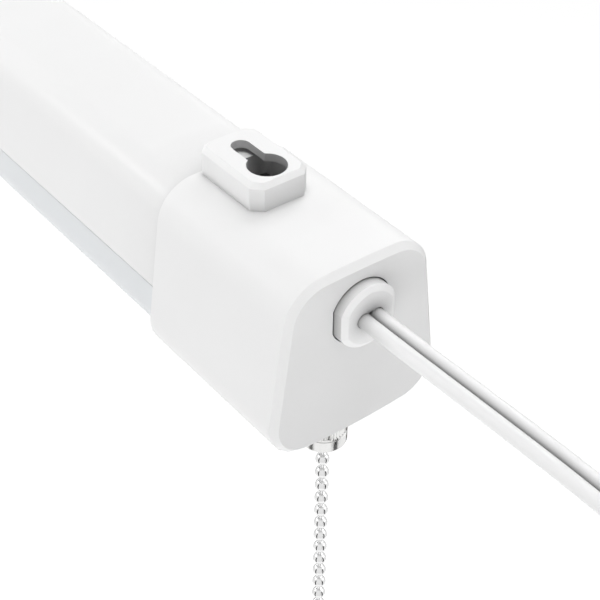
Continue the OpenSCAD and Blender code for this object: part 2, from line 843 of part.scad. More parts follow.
module driver_board() {
    color("darkolivegreen")
        block([driver_x0, driver_x1], [-driver_w / 2, driver_w / 2], [driver_z, parts_z]);
}

module transformer() {
    x0 = driver_x0 + transformer_at;
    x1 = x0 + transformer_len;
    edge = transformer_w / 2;
    winding_y = edge - core_t / 2;
    color("gold")
        block([x0 + core_t, x1 - core_t], [-winding_y, winding_y], [parts_z, parts_z + transformer_h - 1]);
    color("dimgray") {
        for (x = [x0, x1 - core_t])
            block([x, x + core_t], [-edge, edge], [parts_z, parts_z + transformer_h]);
        for (y = [-edge, winding_y])
            block([x0, x1], [y, y + core_t / 2], [parts_z + 2, parts_z + transformer_h - 3]);
    }
}

module bulk_capacitor() {
    x = driver_x0 + bulk_capacitor_at;
    color("midnightblue")
        pin_x(x, x + bulk_capacitor_len, -driver_w / 9, parts_z + bulk_capacitor_r, bulk_capacitor_r);
}

module output_capacitor() {
    color("midnightblue")
        translate([driver_x0 + output_capacitor_at, driver_w / 5, parts_z])
            cylinder(h = output_capacitor_h, r = output_capacitor_r);
}

module line_choke() {
    color("chocolate")
        translate([driver_x0 + choke_at, driver_w / 6, parts_z + winding_r])
            rotate_extrude()
                translate([choke_r, 0])
                    circle(winding_r);
}

module rectifier() {
    x = driver_x0 + rectifier_at;
    y = -driver_w / 2 + 2;
    color("black")
        block([x, x + rectifier_len], [y, y + rectifier_w], [parts_z, parts_z + rectifier_h]);
}

module fuse() {
    x = driver_x0 + fuse_at;
    color("tan")
        pin_x(x, x + fuse_len, -driver_w / 3, parts_z + fuse_r, fuse_r);
}

module driver_terminals() {
    color("seagreen") {
        block([driver_x1 - block_len, driver_x1], [block_y - block_w / 2, block_y + block_w / 2],
            [parts_z, parts_z + block_h]);
        block([driver_x0, driver_x0 + block_len], [-block_w / 2, block_w / 2], [parts_z, parts_z + block_h]);
    }
}

// ---- leads ----

module light_leads() {
    reach = lead_hole_back / 2;
    for (s = [-1, 1])
        let (y = lead_hole_y + s * lead_pitch / 2)
            color(s < 0 ? "black" : "red")
                lead([driver_x0 - touch, y, lead_z], [driver_x0 - reach, y, lead_z],
                    [lead_hole_x, y, tray_z + reach], [lead_hole_x, y, tray_z + touch]);
}

module live_lead() {
    color("black")
        lead([relief_back_x - touch, -core_d / 2, cord_z], [relief_back_x - lead_bend, -core_d / 2, cord_z],
            [case_x0 - lead_bend, -terminal_y, terminal_z], [case_x0 - touch, -terminal_y, terminal_z]);
}

module neutral_lead() {
    y = block_y + block_w / 3;
    color("whitesmoke")
        lead([relief_back_x - touch, core_d / 2, cord_z], [relief_back_x - lead_bend, core_d / 2, cord_z],
            [driver_x1 + lead_bend, y, lead_z], [driver_x1 + touch, y, lead_z]);
}

// This lead turns up early, clear of the tray's end
module switched_lead() {
    y = block_y - block_w / 4;
    color("black")
        lead([case_x0 - touch, terminal_y, terminal_z], [case_x0 - lead_bend / 2, terminal_y, terminal_z],
            [driver_x1 + 2 * lead_bend, y, lead_z], [driver_x1 + touch, y, lead_z]);
}

// ---- strain relief ----

module cord_slot(x0, x1, clear) {
    for (s = [-1, 1])
        pin_x(x0, x1, s * core_d / 2, cord_z, core_d / 2 + clear);
    block([x0, x1], [-core_d / 2, core_d / 2], [cord_z - core_d / 2 - clear, cord_z + core_d / 2 + clear]);
}

module strain_relief() {
    x_straight = cord_face_x + relief_straight;
    x_front = x_straight + relief_bevel;
    color("white")
        difference() {
            union() {
                translate([0, 0, cord_z])
                    along_x(cord_face_x - cap_wall, x_straight)
                        relief_shape(relief_r, relief_flat);
                intersection() {
                    translate([x_straight, 0, cord_z])
                        rotate([0, 90, 0])
                            cylinder(h = relief_bevel, r1 = relief_r, r2 = relief_r - relief_bevel_w);
                    translate([0, 0, cord_z - relief_r])
                        linear_extrude(2 * relief_r)
                            polygon([[x_straight, -relief_flat], [x_front, relief_bevel_w - relief_flat],
                                [x_front, relief_flat - relief_bevel_w], [x_straight, relief_flat]]);
                }
                pin_x(cord_face_x - cap_wall - collar_t, cord_face_x - cap_wall, 0, cord_z, collar_r);
                pin_x(relief_back_x, cord_face_x - cap_wall, 0, cord_z, barrel_r);
            }
            cord_slot(relief_back_x - past, x_front + past, cord_clear);
        }
}

// The key slides down over the barrel, between the collar and the cap's hooks
module relief_key() {
    half_h = 9;
    x1 = cord_face_x - cap_wall - collar_t - slide_gap / 2;
    color("lightgray")
        difference() {
            block([x1 - key_t + slide_gap / 2, x1], [-collar_r, collar_r], [cord_z - half_h, cord_z + half_h]);
            pin_x(x1 - key_t - past, x1 + past, 0, cord_z, barrel_r + slide_gap);
            block([x1 - key_t - past, x1 + past], [-barrel_r - slide_gap, barrel_r + slide_gap],
                [cord_z - half_h - past, cord_z]);
        }
}

// The cord's end inside the light, up to where its two cores part
module cord_inside() {
    color("white")
        cord_slot(relief_back_x, cord_exit[0], 0);
}

// ---- cord and plug ----

module cord_run() {
    color("white")
        flat_tube([for (p = route) cord_exit + p], run_section);
}

module cord_coil() {
    color("white")
        flat_tube(coil_path, coil_section);
}

module cord_tail() {
    color("white")
        flat_tube([for (i = [0:3]) tail_start - [0, 0, i * tail_len / 3]], run_section);
}

// A strap round the coil's turns on the side away from the drop. Sag is how far the innermost turn
// comes in over the strap's width
module cord_tie() {
    sag = pow(tie_w / 2, 2) / (2 * coil_in_r) + coil_in_r * (1 - cos(180 / loop_rings));
    x0 = coil_mid[0] + coil_in_r + coil_step / 2 - core_d / 2 - tie_clear - sag;
    x1 = coil_mid[0] + coil_out_r - coil_step / 2 + core_d / 2 + tie_clear;
    y0 = -cord_w / 2 - tie_clear;
    y1 = layer_step + cord_w / 2 + tie_clear;
    z = [coil_mid[2] - tie_w / 2, coil_mid[2] + tie_w / 2];
    color("black")
        difference() {
            block([x0 - tie_t, x1 + tie_t], [y0 - tie_t, y1 + tie_t], z);
            block([x0, x1], [y0, y1], z + [-past, past]);
        }
}

module plug_shape(shrink) {
    l = plug_w / 2 - shrink;
    t = plug_t / 2 - shrink;
    r = 3;
    square([2 * (t - r), 2 * l], center = true);
    square([2 * t, 2 * (l - r)], center = true);
    for (x = [r - t, t - r], y = [r - l, l - r])
        translate([x, y])
            circle(r);
}

module plug_body() {
    step = 1.6;
    face_t = 4;
    neck_wall = 2;
    color("white")
        translate([plug_top[0], plug_top[1], 0])
            difference() {
                union() {
                    translate([0, 0, plug_face_z])
                        linear_extrude(face_t)
                            plug_shape(0);
                    translate([0, 0, plug_face_z + face_t])
                        linear_extrude(plug_len - face_t)
                            plug_shape(step);
                    translate([0, 0, plug_face_z + plug_len])
                        linear_extrude(plug_neck)
                            square([core_d, cord_w] + 2 * [neck_wall, neck_wall], center = true);
                }
                blade_pocket(-1, blade_w);
                blade_pocket(1, broad_blade_w);
            }
}

// A blade's place in the plug's own frame; dir is -1 for the narrow blade and 1 for the broad one
module blade_pocket(dir, width) {
    translate([-width / 2, dir * blade_pitch / 2 - blade_t / 2, plug_face_z - past])
        cube([width, blade_t, blade_root + past]);
}

module plug_blade(dir, width) {
    y = plug_top[1] + dir * blade_pitch / 2;
    color("gainsboro")
        difference() {
            block([plug_top[0] - width / 2, plug_top[0] + width / 2], [y - blade_t / 2, y + blade_t / 2],
                [plug_face_z - blade_len, plug_face_z + blade_root]);
            pin_y(plug_top[0], y - blade_t, y + blade_t, plug_face_z - blade_len + 4, 1.6);
        }
}

// ---- switch ----

module switch_case() {
    color("saddlebrown")
        difference() {
            block([case_x0, case_x1], [-switch_w / 2, switch_w / 2], [cap_floor_z, case_top_z]);
            block([case_x0 + switch_wall, case_x1 - switch_wall],
                [switch_wall - switch_w / 2, switch_w / 2 - switch_wall],
                [cap_floor_z + switch_wall, case_top_z + past]);
            translate([chain_x, 0, cap_floor_z - past])
                cylinder(h = switch_wall + 2 * past, r = nipple_r + 0.1);
            pin_y(drum_x, -switch_w, switch_w, drum_z, axle_r + 0.02);
            for (y = [-terminal_y, terminal_y])
                block([case_x0 - past, case_x0 + switch_wall + past],
                    [y - contact_w / 2 - slide_gap, y + contact_w / 2 + slide_gap],
                    [terminal_z - contact_h / 2 - slide_gap, terminal_z + contact_h / 2 + slide_gap]);
        }
}

module switch_cover() {
    color("saddlebrown")
        block([case_x0, case_x1], [-switch_w / 2, switch_w / 2], [case_top_z, case_top_z + switch_wall]);
}

module switch_axle() {
    color("silver")
        pin_y(drum_x, -switch_w / 2, switch_w / 2, drum_z, axle_r);
}

module switch_drum() {
    color("ivory")
        difference() {
            union() {
                pin_y(drum_x, -drum_half_w, drum_half_w, drum_z, groove_r);
                pin_y(drum_x, -drum_half_w, -groove_half_w, drum_z, drum_r);
                pin_y(drum_x, groove_half_w, drum_half_w, drum_z, drum_r);
                pin_y(drum_x, 1.5 - switch_w / 2, -groove_half_w, drum_z, axle_r + 0.9);
            }
            pin_y(drum_x, -switch_w, switch_w, drum_z, axle_r + axle_gap);
        }
}

module ratchet_wheel() {
    color("ivory")
        difference() {
            union() {
                pin_y(drum_x, ratchet_y, ratchet_y + ratchet_t, drum_z, ratchet_r - 1);
                for (a = [0:90:270])
                    translate([drum_x, ratchet_y, drum_z])
                        rotate([0, a, 0])
                            block([0, ratchet_r], [0, ratchet_t], [-1.2, 1.2]);
            }
            pin_y(drum_x, -switch_w, switch_w, drum_z, axle_r + axle_gap);
        }
}

module return_spring() {
    rings = spring_turns * 12;
    pitch = (switch_w / 2 - switch_wall + spring_y - 1) / spring_turns;
    path = [for (i = [0:rings]) [drum_x + spring_r * cos(30 * i),
        spring_y - pitch * i / 12 - spring_wire / 2, drum_z + spring_r * sin(30 * i)]];
    color("silver")
        round_tube(path, spring_wire / 2, 6, [0, 1, 0]);
}

// Two brass blades end at the terminals in the back of the case
module switch_contacts() {
    for (y = [-terminal_y, terminal_y])
        color("goldenrod")
            block([case_x0, case_x0 + switch_wall + 0.6], [y - contact_w / 2, y + contact_w / 2],
                [terminal_z - contact_h / 2, terminal_z + contact_h / 2]);
}

module switch_nipple() {
    color("silver")
        translate([chain_x, 0, 0])
            difference() {
                union() {
                    translate([0, 0, nipple_z0])
                        cylinder(h = nipple_z1 - nipple_z0, r = nipple_r);
                    translate([0, 0, nipple_z1])
                        cylinder(h = nipple_flange_t, r = nipple_flange_r);
                }
                translate([0, 0, nipple_z0 - past])
                    cylinder(h = nipple_z1 - nipple_z0 + nipple_flange_t + 2 * past, r = nipple_bore_r);
            }
}

module knurled_nut() {
    knurls = 36;
    knurl_h = nut_h - 1;
    color("silver")
        translate([chain_x, 0, nut_z0])
            difference() {
                union() {
                    cylinder(h = nut_h, r = nut_r - 0.25);
                    translate([0, 0, nut_h - knurl_h])
                        cylinder(h = knurl_h, r = nut_r);
                }
                for (i = [0:knurls - 1])
                    rotate([0, 0, i * 360 / knurls])
                        translate([nut_r, 0, nut_h - knurl_h - eps])
                            rotate([0, 0, 45])
                                translate([-0.25, -0.25, 0])
                                    cube([0.5, 0.5, knurl_h + 2 * eps]);
                translate([0, 0, -past])
                    cylinder(h = nut_h + 2 * past, r = nipple_r + thread_gap);
            }
}

module bell_mouth() {
    color("silver")
        translate([chain_x, 0, mouth_z0])
            difference() {
                cylinder(h = mouth_h, r = mouth_r);
                translate([0, 0, nipple_z0 - mouth_z0 - slide_gap])
                    cylinder(h = mouth_h, r = nipple_r + thread_gap);
                translate([0, 0, -past])
                    cylinder(h = mouth_h, r = nipple_bore_r);
                translate([0, 0, -eps])
                    cylinder(h = flare_r - nipple_bore_r, r1 = flare_r, r2 = nipple_bore_r);
            }
}

// ---- bead chain ----

module bead(z) {
    translate([chain_x, 0, z])
        sphere(r = bead_d / 2);
}

module link(z0, z1) {
    translate([chain_x, 0, z0])
        cylinder(h = z1 - z0, r = link_d / 2);
}

module chain_top() {
    color("silver") {
        for (i = [1:beads_in_switch])
            bead(pivot_z + i * bead_pitch);
        link(pivot_z + bead_d / 2 + swing_gap, drum_z);
    }
}

module chain_pivot_bead() {
    color("silver")
        bead(pivot_z);
}

module chain_drop() {
    color("silver") {
        for (i = [1:hanging_beads])
            bead(pivot_z - i * bead_pitch);
        link(pivot_z - (hanging_beads + 1) * bead_pitch, pivot_z - bead_d / 2 - swing_gap);
    }
}

// The bell hangs on the last link and hides its end
module chain_bell() {
    top_z = pivot_z - (hanging_beads + 1) * bead_pitch;
    neck_r = 2.2;
    rim_h = 3;
    neck_h = 4;
    color("silver")
        translate([chain_x, 0, top_z - bell_len]) {
            cylinder(h = rim_h, r = bell_r);
            translate([0, 0, rim_h])
                cylinder(h = bell_len - rim_h - neck_h, r1 = bell_r, r2 = neck_r);
            translate([0, 0, bell_len - neck_h])
                cylinder(h = neck_h, r = neck_r);
        }
}

housing();
diffuser();
end_cap_cord();
end_cap_plain();
gear_tray();
light_board(board_cord_x);  // light_board_cord
light_board(board_plain_x);  // light_board_plain
chips(board_cord_x);  // chips_cord
chips(board_plain_x);  // chips_plain
board_screws();
board_link();
driver_insulator();
driver_posts();
driver_board();
transformer();
bulk_capacitor();
output_capacitor();
line_choke();
rectifier();
fuse();
driver_terminals();
light_leads();
live_lead();
neutral_lead();
switched_lead();
strain_relief();
relief_key();
cord_inside();
cord_run();
cord_coil();
cord_tail();
cord_tie();
plug_body();
plug_blade(-1, blade_w);  // plug_blade_narrow
plug_blade(1, broad_blade_w);  // plug_blade_broad
switch_case();
switch_cover();
switch_axle();
switch_drum();
ratchet_wheel();
return_spring();
switch_contacts();
switch_nipple();
knurled_nut();
bell_mouth();
chain_top();
chain_pivot_bead();
chain_drop();
chain_bell();
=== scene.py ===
import json
import math

import bmesh
import bpy
from mathutils import Matrix, Vector


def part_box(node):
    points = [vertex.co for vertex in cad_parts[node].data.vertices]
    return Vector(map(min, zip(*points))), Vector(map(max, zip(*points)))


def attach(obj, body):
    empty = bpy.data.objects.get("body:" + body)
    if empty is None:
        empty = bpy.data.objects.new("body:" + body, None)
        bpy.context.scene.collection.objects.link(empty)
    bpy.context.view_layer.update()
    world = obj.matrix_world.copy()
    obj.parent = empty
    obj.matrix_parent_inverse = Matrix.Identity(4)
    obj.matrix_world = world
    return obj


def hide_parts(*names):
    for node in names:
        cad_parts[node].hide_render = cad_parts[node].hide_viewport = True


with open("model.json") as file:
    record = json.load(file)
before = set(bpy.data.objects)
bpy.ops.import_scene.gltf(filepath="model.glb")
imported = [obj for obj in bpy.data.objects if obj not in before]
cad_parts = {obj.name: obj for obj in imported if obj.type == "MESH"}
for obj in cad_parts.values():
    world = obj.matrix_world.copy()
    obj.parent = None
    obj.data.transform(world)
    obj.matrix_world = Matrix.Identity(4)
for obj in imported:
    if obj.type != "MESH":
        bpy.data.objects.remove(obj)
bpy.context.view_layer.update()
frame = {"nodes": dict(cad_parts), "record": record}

# Lengths are millimetres, and MM turns them into the frame's metres. The camera's place, the materials'
# depths and reach, and the floor, lamps and cards are in metres.
# X runs along the light towards its cord end, and Z is up.
MM = 0.001


def box_mm(node):
    low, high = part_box(node)
    return low / MM, high / MM


# ---- camera ----

# Solved from the photograph's straight edges, for a frame of 600 by 600 pixels
CAMERA_AT = Vector((0.78593, -0.16731, 0.18328))
CAMERA_YAW = math.radians(142.00)
CAMERA_PITCH = math.radians(-38.43)
CAMERA_ROLL = math.radians(0.78)
CAMERA_LENS = 84.96
CAMERA_SENSOR = 36.0
CAMERA_NEAR = 0.01
CAMERA_FAR = 50


def make_camera():
    forward = Vector((math.cos(CAMERA_YAW) * math.cos(CAMERA_PITCH),
                      math.sin(CAMERA_YAW) * math.cos(CAMERA_PITCH),
                      math.sin(CAMERA_PITCH)))
    level = forward.cross(Vector((0, 0, 1))).normalized()
    above = level.cross(forward)
    right = math.cos(CAMERA_ROLL) * level + math.sin(CAMERA_ROLL) * above
    up = math.cos(CAMERA_ROLL) * above - math.sin(CAMERA_ROLL) * level
    data = bpy.data.cameras.new("camera")
    data.lens = CAMERA_LENS
    data.sensor_width = CAMERA_SENSOR
    data.sensor_fit = "HORIZONTAL"
    data.clip_start = CAMERA_NEAR
    data.clip_end = CAMERA_FAR
    camera = bpy.data.objects.new("camera", data)
    turn = Matrix((right, up, -forward)).transposed().to_4x4()
    camera.matrix_world = Matrix.Translation(CAMERA_AT) @ turn
    bpy.context.scene.collection.objects.link(camera)
    bpy.context.scene.camera = camera


make_camera()

# ---- sizes that the solids have too ----

CAP_TOP_W = 39.6        # width of a cap's top before its corners are rounded
CAP_BOTTOM_W = 53.6     # width of a cap's bottom before its corners are rounded
CAP_H = 50.1
CAP_LEN = 52.6
CORNER_R = 11.0
CAP_WALL = 2.5
CAP_BEVEL = 1.6
LUG_LEN = 24.8
LUG_W = 16.8
LUG_H = 7.2
LUG_CORNER = 2.6
LUG_BEVEL = 1.2
LUG_SETBACK = 41.6      # from a lug's middle to the end face beside it
KEYHOLE_PLATE = 2.2
ENTRY_R = 5.0
ENTRY_SHIFT = 5.4
SLOT_W = 5.0
SLOT_RUN = 10.6
HEAD_SPACE_R = 4.6
BODY_STEP = 2.7         # from the cap's outside in to the body's outside
HOUSING_WALL = 1.6
DIFFUSER_WALL = 1.8
SEAM_H = 18.2
SEAM_GAP = 0.3
LIP_WALL = 1.2
LIP_H = 3.5
LIP_FOOT = 2.5
RAIL_W = 3.0
RAIL_T = 1.2
TRAY_RISE = 6.0
TRAY_T = 1.2
SLIDE_GAP = 0.2
RELIEF_R = 8.55
RELIEF_FLAT = 7.95
RELIEF_GAP = 0.3
RELIEF_STRAIGHT = 2.6
RELIEF_BEVEL = 0.9
RELIEF_BEVEL_W = 1.5
COLLAR_R = 10.5
COLLAR_T = 2.0
BARREL_R = 7.5
BARREL_LEN = 12.0
CORD_BELOW_TOP = 13.6
CORE_D = 3.7
CHAIN_SETBACK = 12.4
NIPPLE_HOLE_R = 5.0
NUT_R = 6.4
NUT_H = 9.6
NUT_BORE_R = 4.75
MOUTH_R = 6.2
MOUTH_H = 3.5
FLARE_R = 4.2
BORE_R = 2.5
BEAD_D = 3.6
BEAD_PITCH = 4.83
FREE_BEAD_DROP = 2.9
HANGING_BEADS = 32
BEADS_IN_SWITCH = 6
LINK_D = 1.1
BELL_R = 5.0
BELL_LEN = 22.0
BELL_NECK_R = 2.2
BELL_RISE = 3.0         # height at which the bell begins to draw in

# ---- sizes and steps of the finer shapes ----

CUT_PAST = 1.0          # how far a tool runs past what it cuts, or into what it joins
CROWN_R = 280.0         # the slight crown of the light's top
BOTTOM_CROWN_R = 170.0  # the slight crown of a cap's bottom
CROWN_STEPS = 8         # steps across half of the bottom's crown
CAP_EDGE = 0.22         # rounding of a cap's edges
BODY_EDGE = 0.12        # rounding of the housing's and the diffuser's edges
BODY_STEPS = 40         # pieces that the long walls are cut into
SEAM_SEEN = 0.06        # the gap that shows outside, where the diffuser is pressed up to the housing
HEAD_SPACE_H = 1.2      # height of the space under the keyhole's plate
HOLLOW_X = 7.6          # half the length of the hollow under the lug's plate
HOLLOW_Y = 6.9          # half the hollow's width
HOLLOW_CORNER = 2.0
HOLLOW_SHIFT = 2.0      # from the entry's middle to the hollow's, away from the end face
RELIEF_EDGE = 0.15      # rounding of the strain relief's edges
CORD_CLEAR = 0.1        # from the cord to its way through the strain relief
CORD_WEB = 0.12         # half the thickness of the web between the cord's two cores
WAY_WEB = 1.0           # half the height of the way between those two cores
WAY_PAST = 8.0          # how far the tool for that way runs past the end face
KNURLS = 44
KNURL_FOOT = 1.0        # height at which the nut's knurls begin
MOUTH_ROLL = 0.7        # radius of the mouthpiece's lower edge
MOUTH_SHOULDER = 0.15   # radius of its upper edge
MOUTH_FLOOR = 1.6       # from its lower face to the floor inside
BEAD_FLAT = 0.93        # share of a bead's radius at which its two flats lie
LINK_CLEAR = 0.15       # from the pivot bead's surface to a neighbour's link
BELL_NECK_LEN = 5.0
BELL_LIP_R = 0.8        # rounding of the bell's lower edge
BELL_TOP_R = 0.6        # rounding of its upper edge
BELL_STEPS = 8
BELL_CORE_R = 0.01      # the bell's profile begins and ends this near its axis

CORD_FACE = box_mm("end_cap_cord")[1].x
PLAIN_FACE = box_mm("end_cap_plain")[0].x
BODY_X0 = box_mm("housing")[0].x
BODY_X1 = box_mm("housing")[1].x
CAP_TOP = -LUG_H
CAP_BOTTOM = CAP_TOP - CAP_H
SEAM = CAP_BOTTOM + SEAM_H
TRAY = SEAM + TRAY_RISE
CORD_Z = CAP_TOP - CORD_BELOW_TOP
CHAIN_X = CORD_FACE - CHAIN_SETBACK
NUT_Z0 = CAP_BOTTOM - NUT_H
MOUTH_Z1 = NUT_Z0 - SEAM_GAP
MOUTH_Z0 = MOUTH_Z1 - MOUTH_H
PIVOT_Z = MOUTH_Z0 - FREE_BEAD_DROP

# ---- the cord's route ----

CORD_EXIT = Vector((CORD_FACE + RELIEF_STRAIGHT + RELIEF_BEVEL, 0, CORD_Z))
ROUTE = [(0, 0, 0), (4, 0, 0), (16, 0, 0.2), (32, 0, 0.6), (48, 0, 1), (64, 0, 1.2), (80, 0, 0.8),
         (87, 0, -0.6), (94, 0, -3.6), (100, 0, -8), (104, 0, -14), (107, 0, -21), (108, 0, -28),
         (108, 0, -42), (108, 0, -56), (108, 0, -70)]
CORD_W = 2 * CORE_D
COIL_IN_R = 29.0
COIL_STEP = 4.3
COIL_TURNS = 6
COIL_RINGS = 72         # rings in a turn of the coil
LAYER_STEP = 8.0
TAIL_LEN = 44.0
ROUTE_STEPS = 4         # steps between two points of the route
TAIL_STEPS = 6
RUN_END = CORD_EXIT + Vector(ROUTE[-1])
COIL_OUT_R = COIL_IN_R + COIL_STEP * COIL_TURNS / 2
COIL_MID = RUN_END + Vector((COIL_OUT_R, 0, -CORD_W))
TAIL_START = Vector((RUN_END.x, LAYER_STEP, COIL_MID.z - CORD_W))
PLUG_TOP = TAIL_START - Vector((0, 0, TAIL_LEN))
TIE_T = 1.0
TIE_W = 9.0
TIE_CLEAR = 0.4
TIE_CORNER = 1.2
TIE_EDGE = 0.3
SOLID_RINGS = 24        # rings in a turn of the solid's coil, whose flats the tie clears


def ease(t):
    t = min(max(t, 0), 1)
    return t * t * (3 - 2 * t)


def coil_point(turn):
    """The coil winds in on one layer, climbs in half a turn and winds out on the other."""
    r = COIL_IN_R + COIL_STEP * abs(turn - COIL_TURNS / 2)
    a = math.pi + 2 * math.pi * turn
    layer = ease(2 * (turn - COIL_TURNS / 2) + 0.5)
    return COIL_MID + Vector((r * math.cos(a), LAYER_STEP * layer, r * math.sin(a)))


def smooth_path(points, steps):
    """Points on a curve through all of these, with the given number of steps between two."""
    points = [Vector(p) for p in points]
    out = []
    for i in range(len(points) - 1):
        p1, p2 = points[i], points[i + 1]
        p0, p3 = points[max(i - 1, 0)], points[min(i + 2, len(points) - 1)]
        for k in range(steps):
            t = k / steps
            out.append(0.5 * (2 * p1 + (p2 - p0) * t + (2 * p0 - 5 * p1 + 4 * p2 - p3) * t * t
                              + (3 * p1 - p0 - 3 * p2 + p3) * t ** 3))
    return out + [points[-1]]


def cord_path():
    run = smooth_path([CORD_EXIT + Vector(p) for p in ROUTE], ROUTE_STEPS)
    coil = [coil_point(i / COIL_RINGS) for i in range(COIL_TURNS * COIL_RINGS + 1)]
    tail = [TAIL_START + (PLUG_TOP - TAIL_START) * i / TAIL_STEPS for i in range(TAIL_STEPS + 1)]
    return run + coil[1:] + tail


# ---- mesh helpers, all in millimetres ----

def make_piece(name, vertices, faces):
    mesh = bpy.data.meshes.new(name)
    mesh.from_pydata([tuple(v) for v in vertices], [], faces)
    piece = bpy.data.objects.new(name, mesh)
    bpy.context.scene.collection.objects.link(piece)
    fix_normals(mesh)
    return piece


def fix_normals(mesh):
    work = bmesh.new()
    work.from_mesh(mesh)
    bmesh.ops.remove_doubles(work, verts=work.verts, dist=1e-4)
    bmesh.ops.recalc_face_normals(work, faces=work.faces)
    work.to_mesh(mesh)
    work.free()


def arc(middle, r, a0, a1, count):
    """Points on an arc, its ends included; the angles are in radians."""
    return [(middle[0] + r * math.cos(a0 + (a1 - a0) * i / count),
             middle[1] + r * math.sin(a0 + (a1 - a0) * i / count)) for i in range(count + 1)]


def circle(middle, r, count):
    return arc(middle, r, 0, 2 * math.pi, count)[:-1]


def rounded_rectangle(half_x, half_y, r, count=6):
    points = []
    for sx, sy, quarter in ((1, 1, 0), (-1, 1, 1), (-1, -1, 2), (1, -1, 3)):
        middle = (sx * (half_x - r), sy * (half_y - r))
        points += arc(middle, r, quarter * math.pi / 2, (quarter + 1) * math.pi / 2, count)
    return points


def skin(rings, close_start=True, close_end=True):
    """Vertices and faces that join closed rings, which all have the same number of points."""
    count = len(rings[0])
    vertices = [p for ring in rings for p in ring]
    faces = []
    for i in range(len(rings) - 1):
        for j in range(count):
            k = (j + 1) % count
            faces.append((i * count + j, i * count + k, (i + 1) * count + k, (i + 1) * count + j))
    if close_start:
        faces.append(tuple(range(count)))
    if close_end:
        faces.append(tuple((len(rings) - 1) * count + j for j in range(count)))
    return vertices, faces


def along_x(outline, x):
    return [(x, y, z) for y, z in outline]


def prism_x(name, outline, x0, x1, steps=1):
    rings = [along_x(outline, x0 + (x1 - x0) * i / steps) for i in range(steps + 1)]
    return make_piece(name, *skin(rings))


def prism_z(name, outline, z0, z1):
    return make_piece(name, *skin([[(x, y, z) for x, y in outline] for z in (z0, z1)]))


def lathe(name, profile, count):
    """A turned piece round the chain's upright axis. The profile is a closed list of (radius, height)."""
    rings = []
    for i in range(count):
        a = 2 * math.pi * i / count
        rings.append([(CHAIN_X + r * math.cos(a), r * math.sin(a), z) for r, z in profile])
    rings.append(rings[0])
    return make_piece(name, *skin(rings, False, False))


def carve(piece, tool, operation):
    """Cuts a tool from a piece, or joins it on, and removes the tool."""
    change = piece.modifiers.new("carve", "BOOLEAN")
    change.operation = operation
    change.solver = "EXACT"
    change.object = tool
    apply_modifiers(piece)
    bpy.data.objects.remove(tool)


def apply_modifiers(piece):
    graph = bpy.context.evaluated_depsgraph_get()
    mesh = bpy.data.meshes.new_from_object(piece.evaluated_get(graph))
    piece.modifiers.clear()
    piece.data = mesh


def soften(piece, width, segments=3, angle=32):
    """Rounds the piece's edges that are sharper than angle, and lets its flat faces keep their shading."""
    edge = piece.modifiers.new("edge", "BEVEL")
    edge.limit_method = "ANGLE"
    edge.angle_limit = math.radians(angle)
    edge.width = width
    edge.segments = segments
    edge.use_clamp_overlap = True
    edge.miter_outer = "MITER_ARC"
    apply_modifiers(piece)
    shade(piece)


def shade(piece, sharp=50):
    """Smooths the shading, except across edges sharper than this many degrees."""
    piece.data.shade_smooth()
    piece.data.set_sharp_from_angle(angle=math.radians(sharp))
    weigh = piece.modifiers.new("weigh", "WEIGHTED_NORMAL")
    weigh.keep_sharp = True
    apply_modifiers(piece)


def finish_piece(piece, material, body, slot, *nodes):
    """Puts a piece into metres, with its material, on its body and in place of its nodes."""
    piece.data.transform(Matrix.Scale(MM, 4))
    piece.data.materials.clear()
    piece.data.materials.append(material)
    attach(piece, body)
    if nodes:
        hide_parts(*nodes)
    return piece


# ---- materials ----

NOISE_LOW = 0.3         # nearly all of a noise's values lie between these two
NOISE_HIGH = 0.7
TONE_SCALE = 45         # scale of the slow change in a plastic's colour
GLOSS_SCALE = 160       # scale of the change in its gloss
PLASTIC_DEPTH = 0.00002
SCATTER_DEPTH = 0.002
METAL_TONE_SCALE = 120
METAL_TONE_CHANGE = 0.03
METAL_GRAIN = 1500
METAL_DEPTH = 0.00001
METAL_STRENGTH = 0.2
STRAP_ROWS = 350        # scale of the woven rows across the tie
STRAP_DEPTH = 0.0003
# Shade painted into a plastic's colour in its creases, from how much open sky each point sees
CREASE_SAMPLES = 12
CREASE_DEEP = 0.35      # share of open sky at which a crease is at its dimmest
NODE_SHARP = 35         # degrees from which a CAD node's edge is drawn sharp


def new_material(name):
    material = bpy.data.materials.new(name)
    material.use_nodes = True
    tree = material.node_tree
    return material, tree, tree.nodes["Principled BSDF"]


def noise(tree, scale, detail=3.0, stretch=(1, 1, 1)):
    place = tree.nodes.new("ShaderNodeTexCoord")
    mapping = tree.nodes.new("ShaderNodeMapping")
    mapping.inputs["Scale"].default_value = stretch
    texture = tree.nodes.new("ShaderNodeTexNoise")
    texture.inputs["Scale"].default_value = scale
    texture.inputs["Detail"].default_value = detail
    tree.links.new(place.outputs["Object"], mapping.inputs["Vector"])
    tree.links.new(mapping.outputs["Vector"], texture.inputs["Vector"])
    return texture.outputs["Fac"]


def spread(tree, value, low, high):
    """Turns a noise value into the range from low to high."""
    ranged = tree.nodes.new("ShaderNodeMapRange")
    ranged.inputs["From Min"].default_value = NOISE_LOW
    ranged.inputs["From Max"].default_value = NOISE_HIGH
    ranged.inputs["To Min"].default_value = low
    ranged.inputs["To Max"].default_value = high
    tree.links.new(value, ranged.inputs["Value"])
    return ranged.outputs["Result"]


def tint(tree, value, colour, change):
    """Lets the colour vary a little with a noise value."""
    mix = tree.nodes.new("ShaderNodeMix")
    mix.data_type = "RGBA"
    mix.inputs[6].default_value = (*[c * (1 - change) for c in colour], 1)
    mix.inputs[7].default_value = (*[min(c * (1 + change), 1) for c in colour], 1)
    tree.links.new(value, mix.inputs[0])
    return mix.outputs[2]


def roughen(tree, shader, value, depth, strength):
    bump = tree.nodes.new("ShaderNodeBump")
    bump.inputs["Distance"].default_value = depth
    bump.inputs["Strength"].default_value = strength
    tree.links.new(value, bump.inputs["Height"])
    tree.links.new(bump.outputs["Normal"], shader.inputs["Normal"])


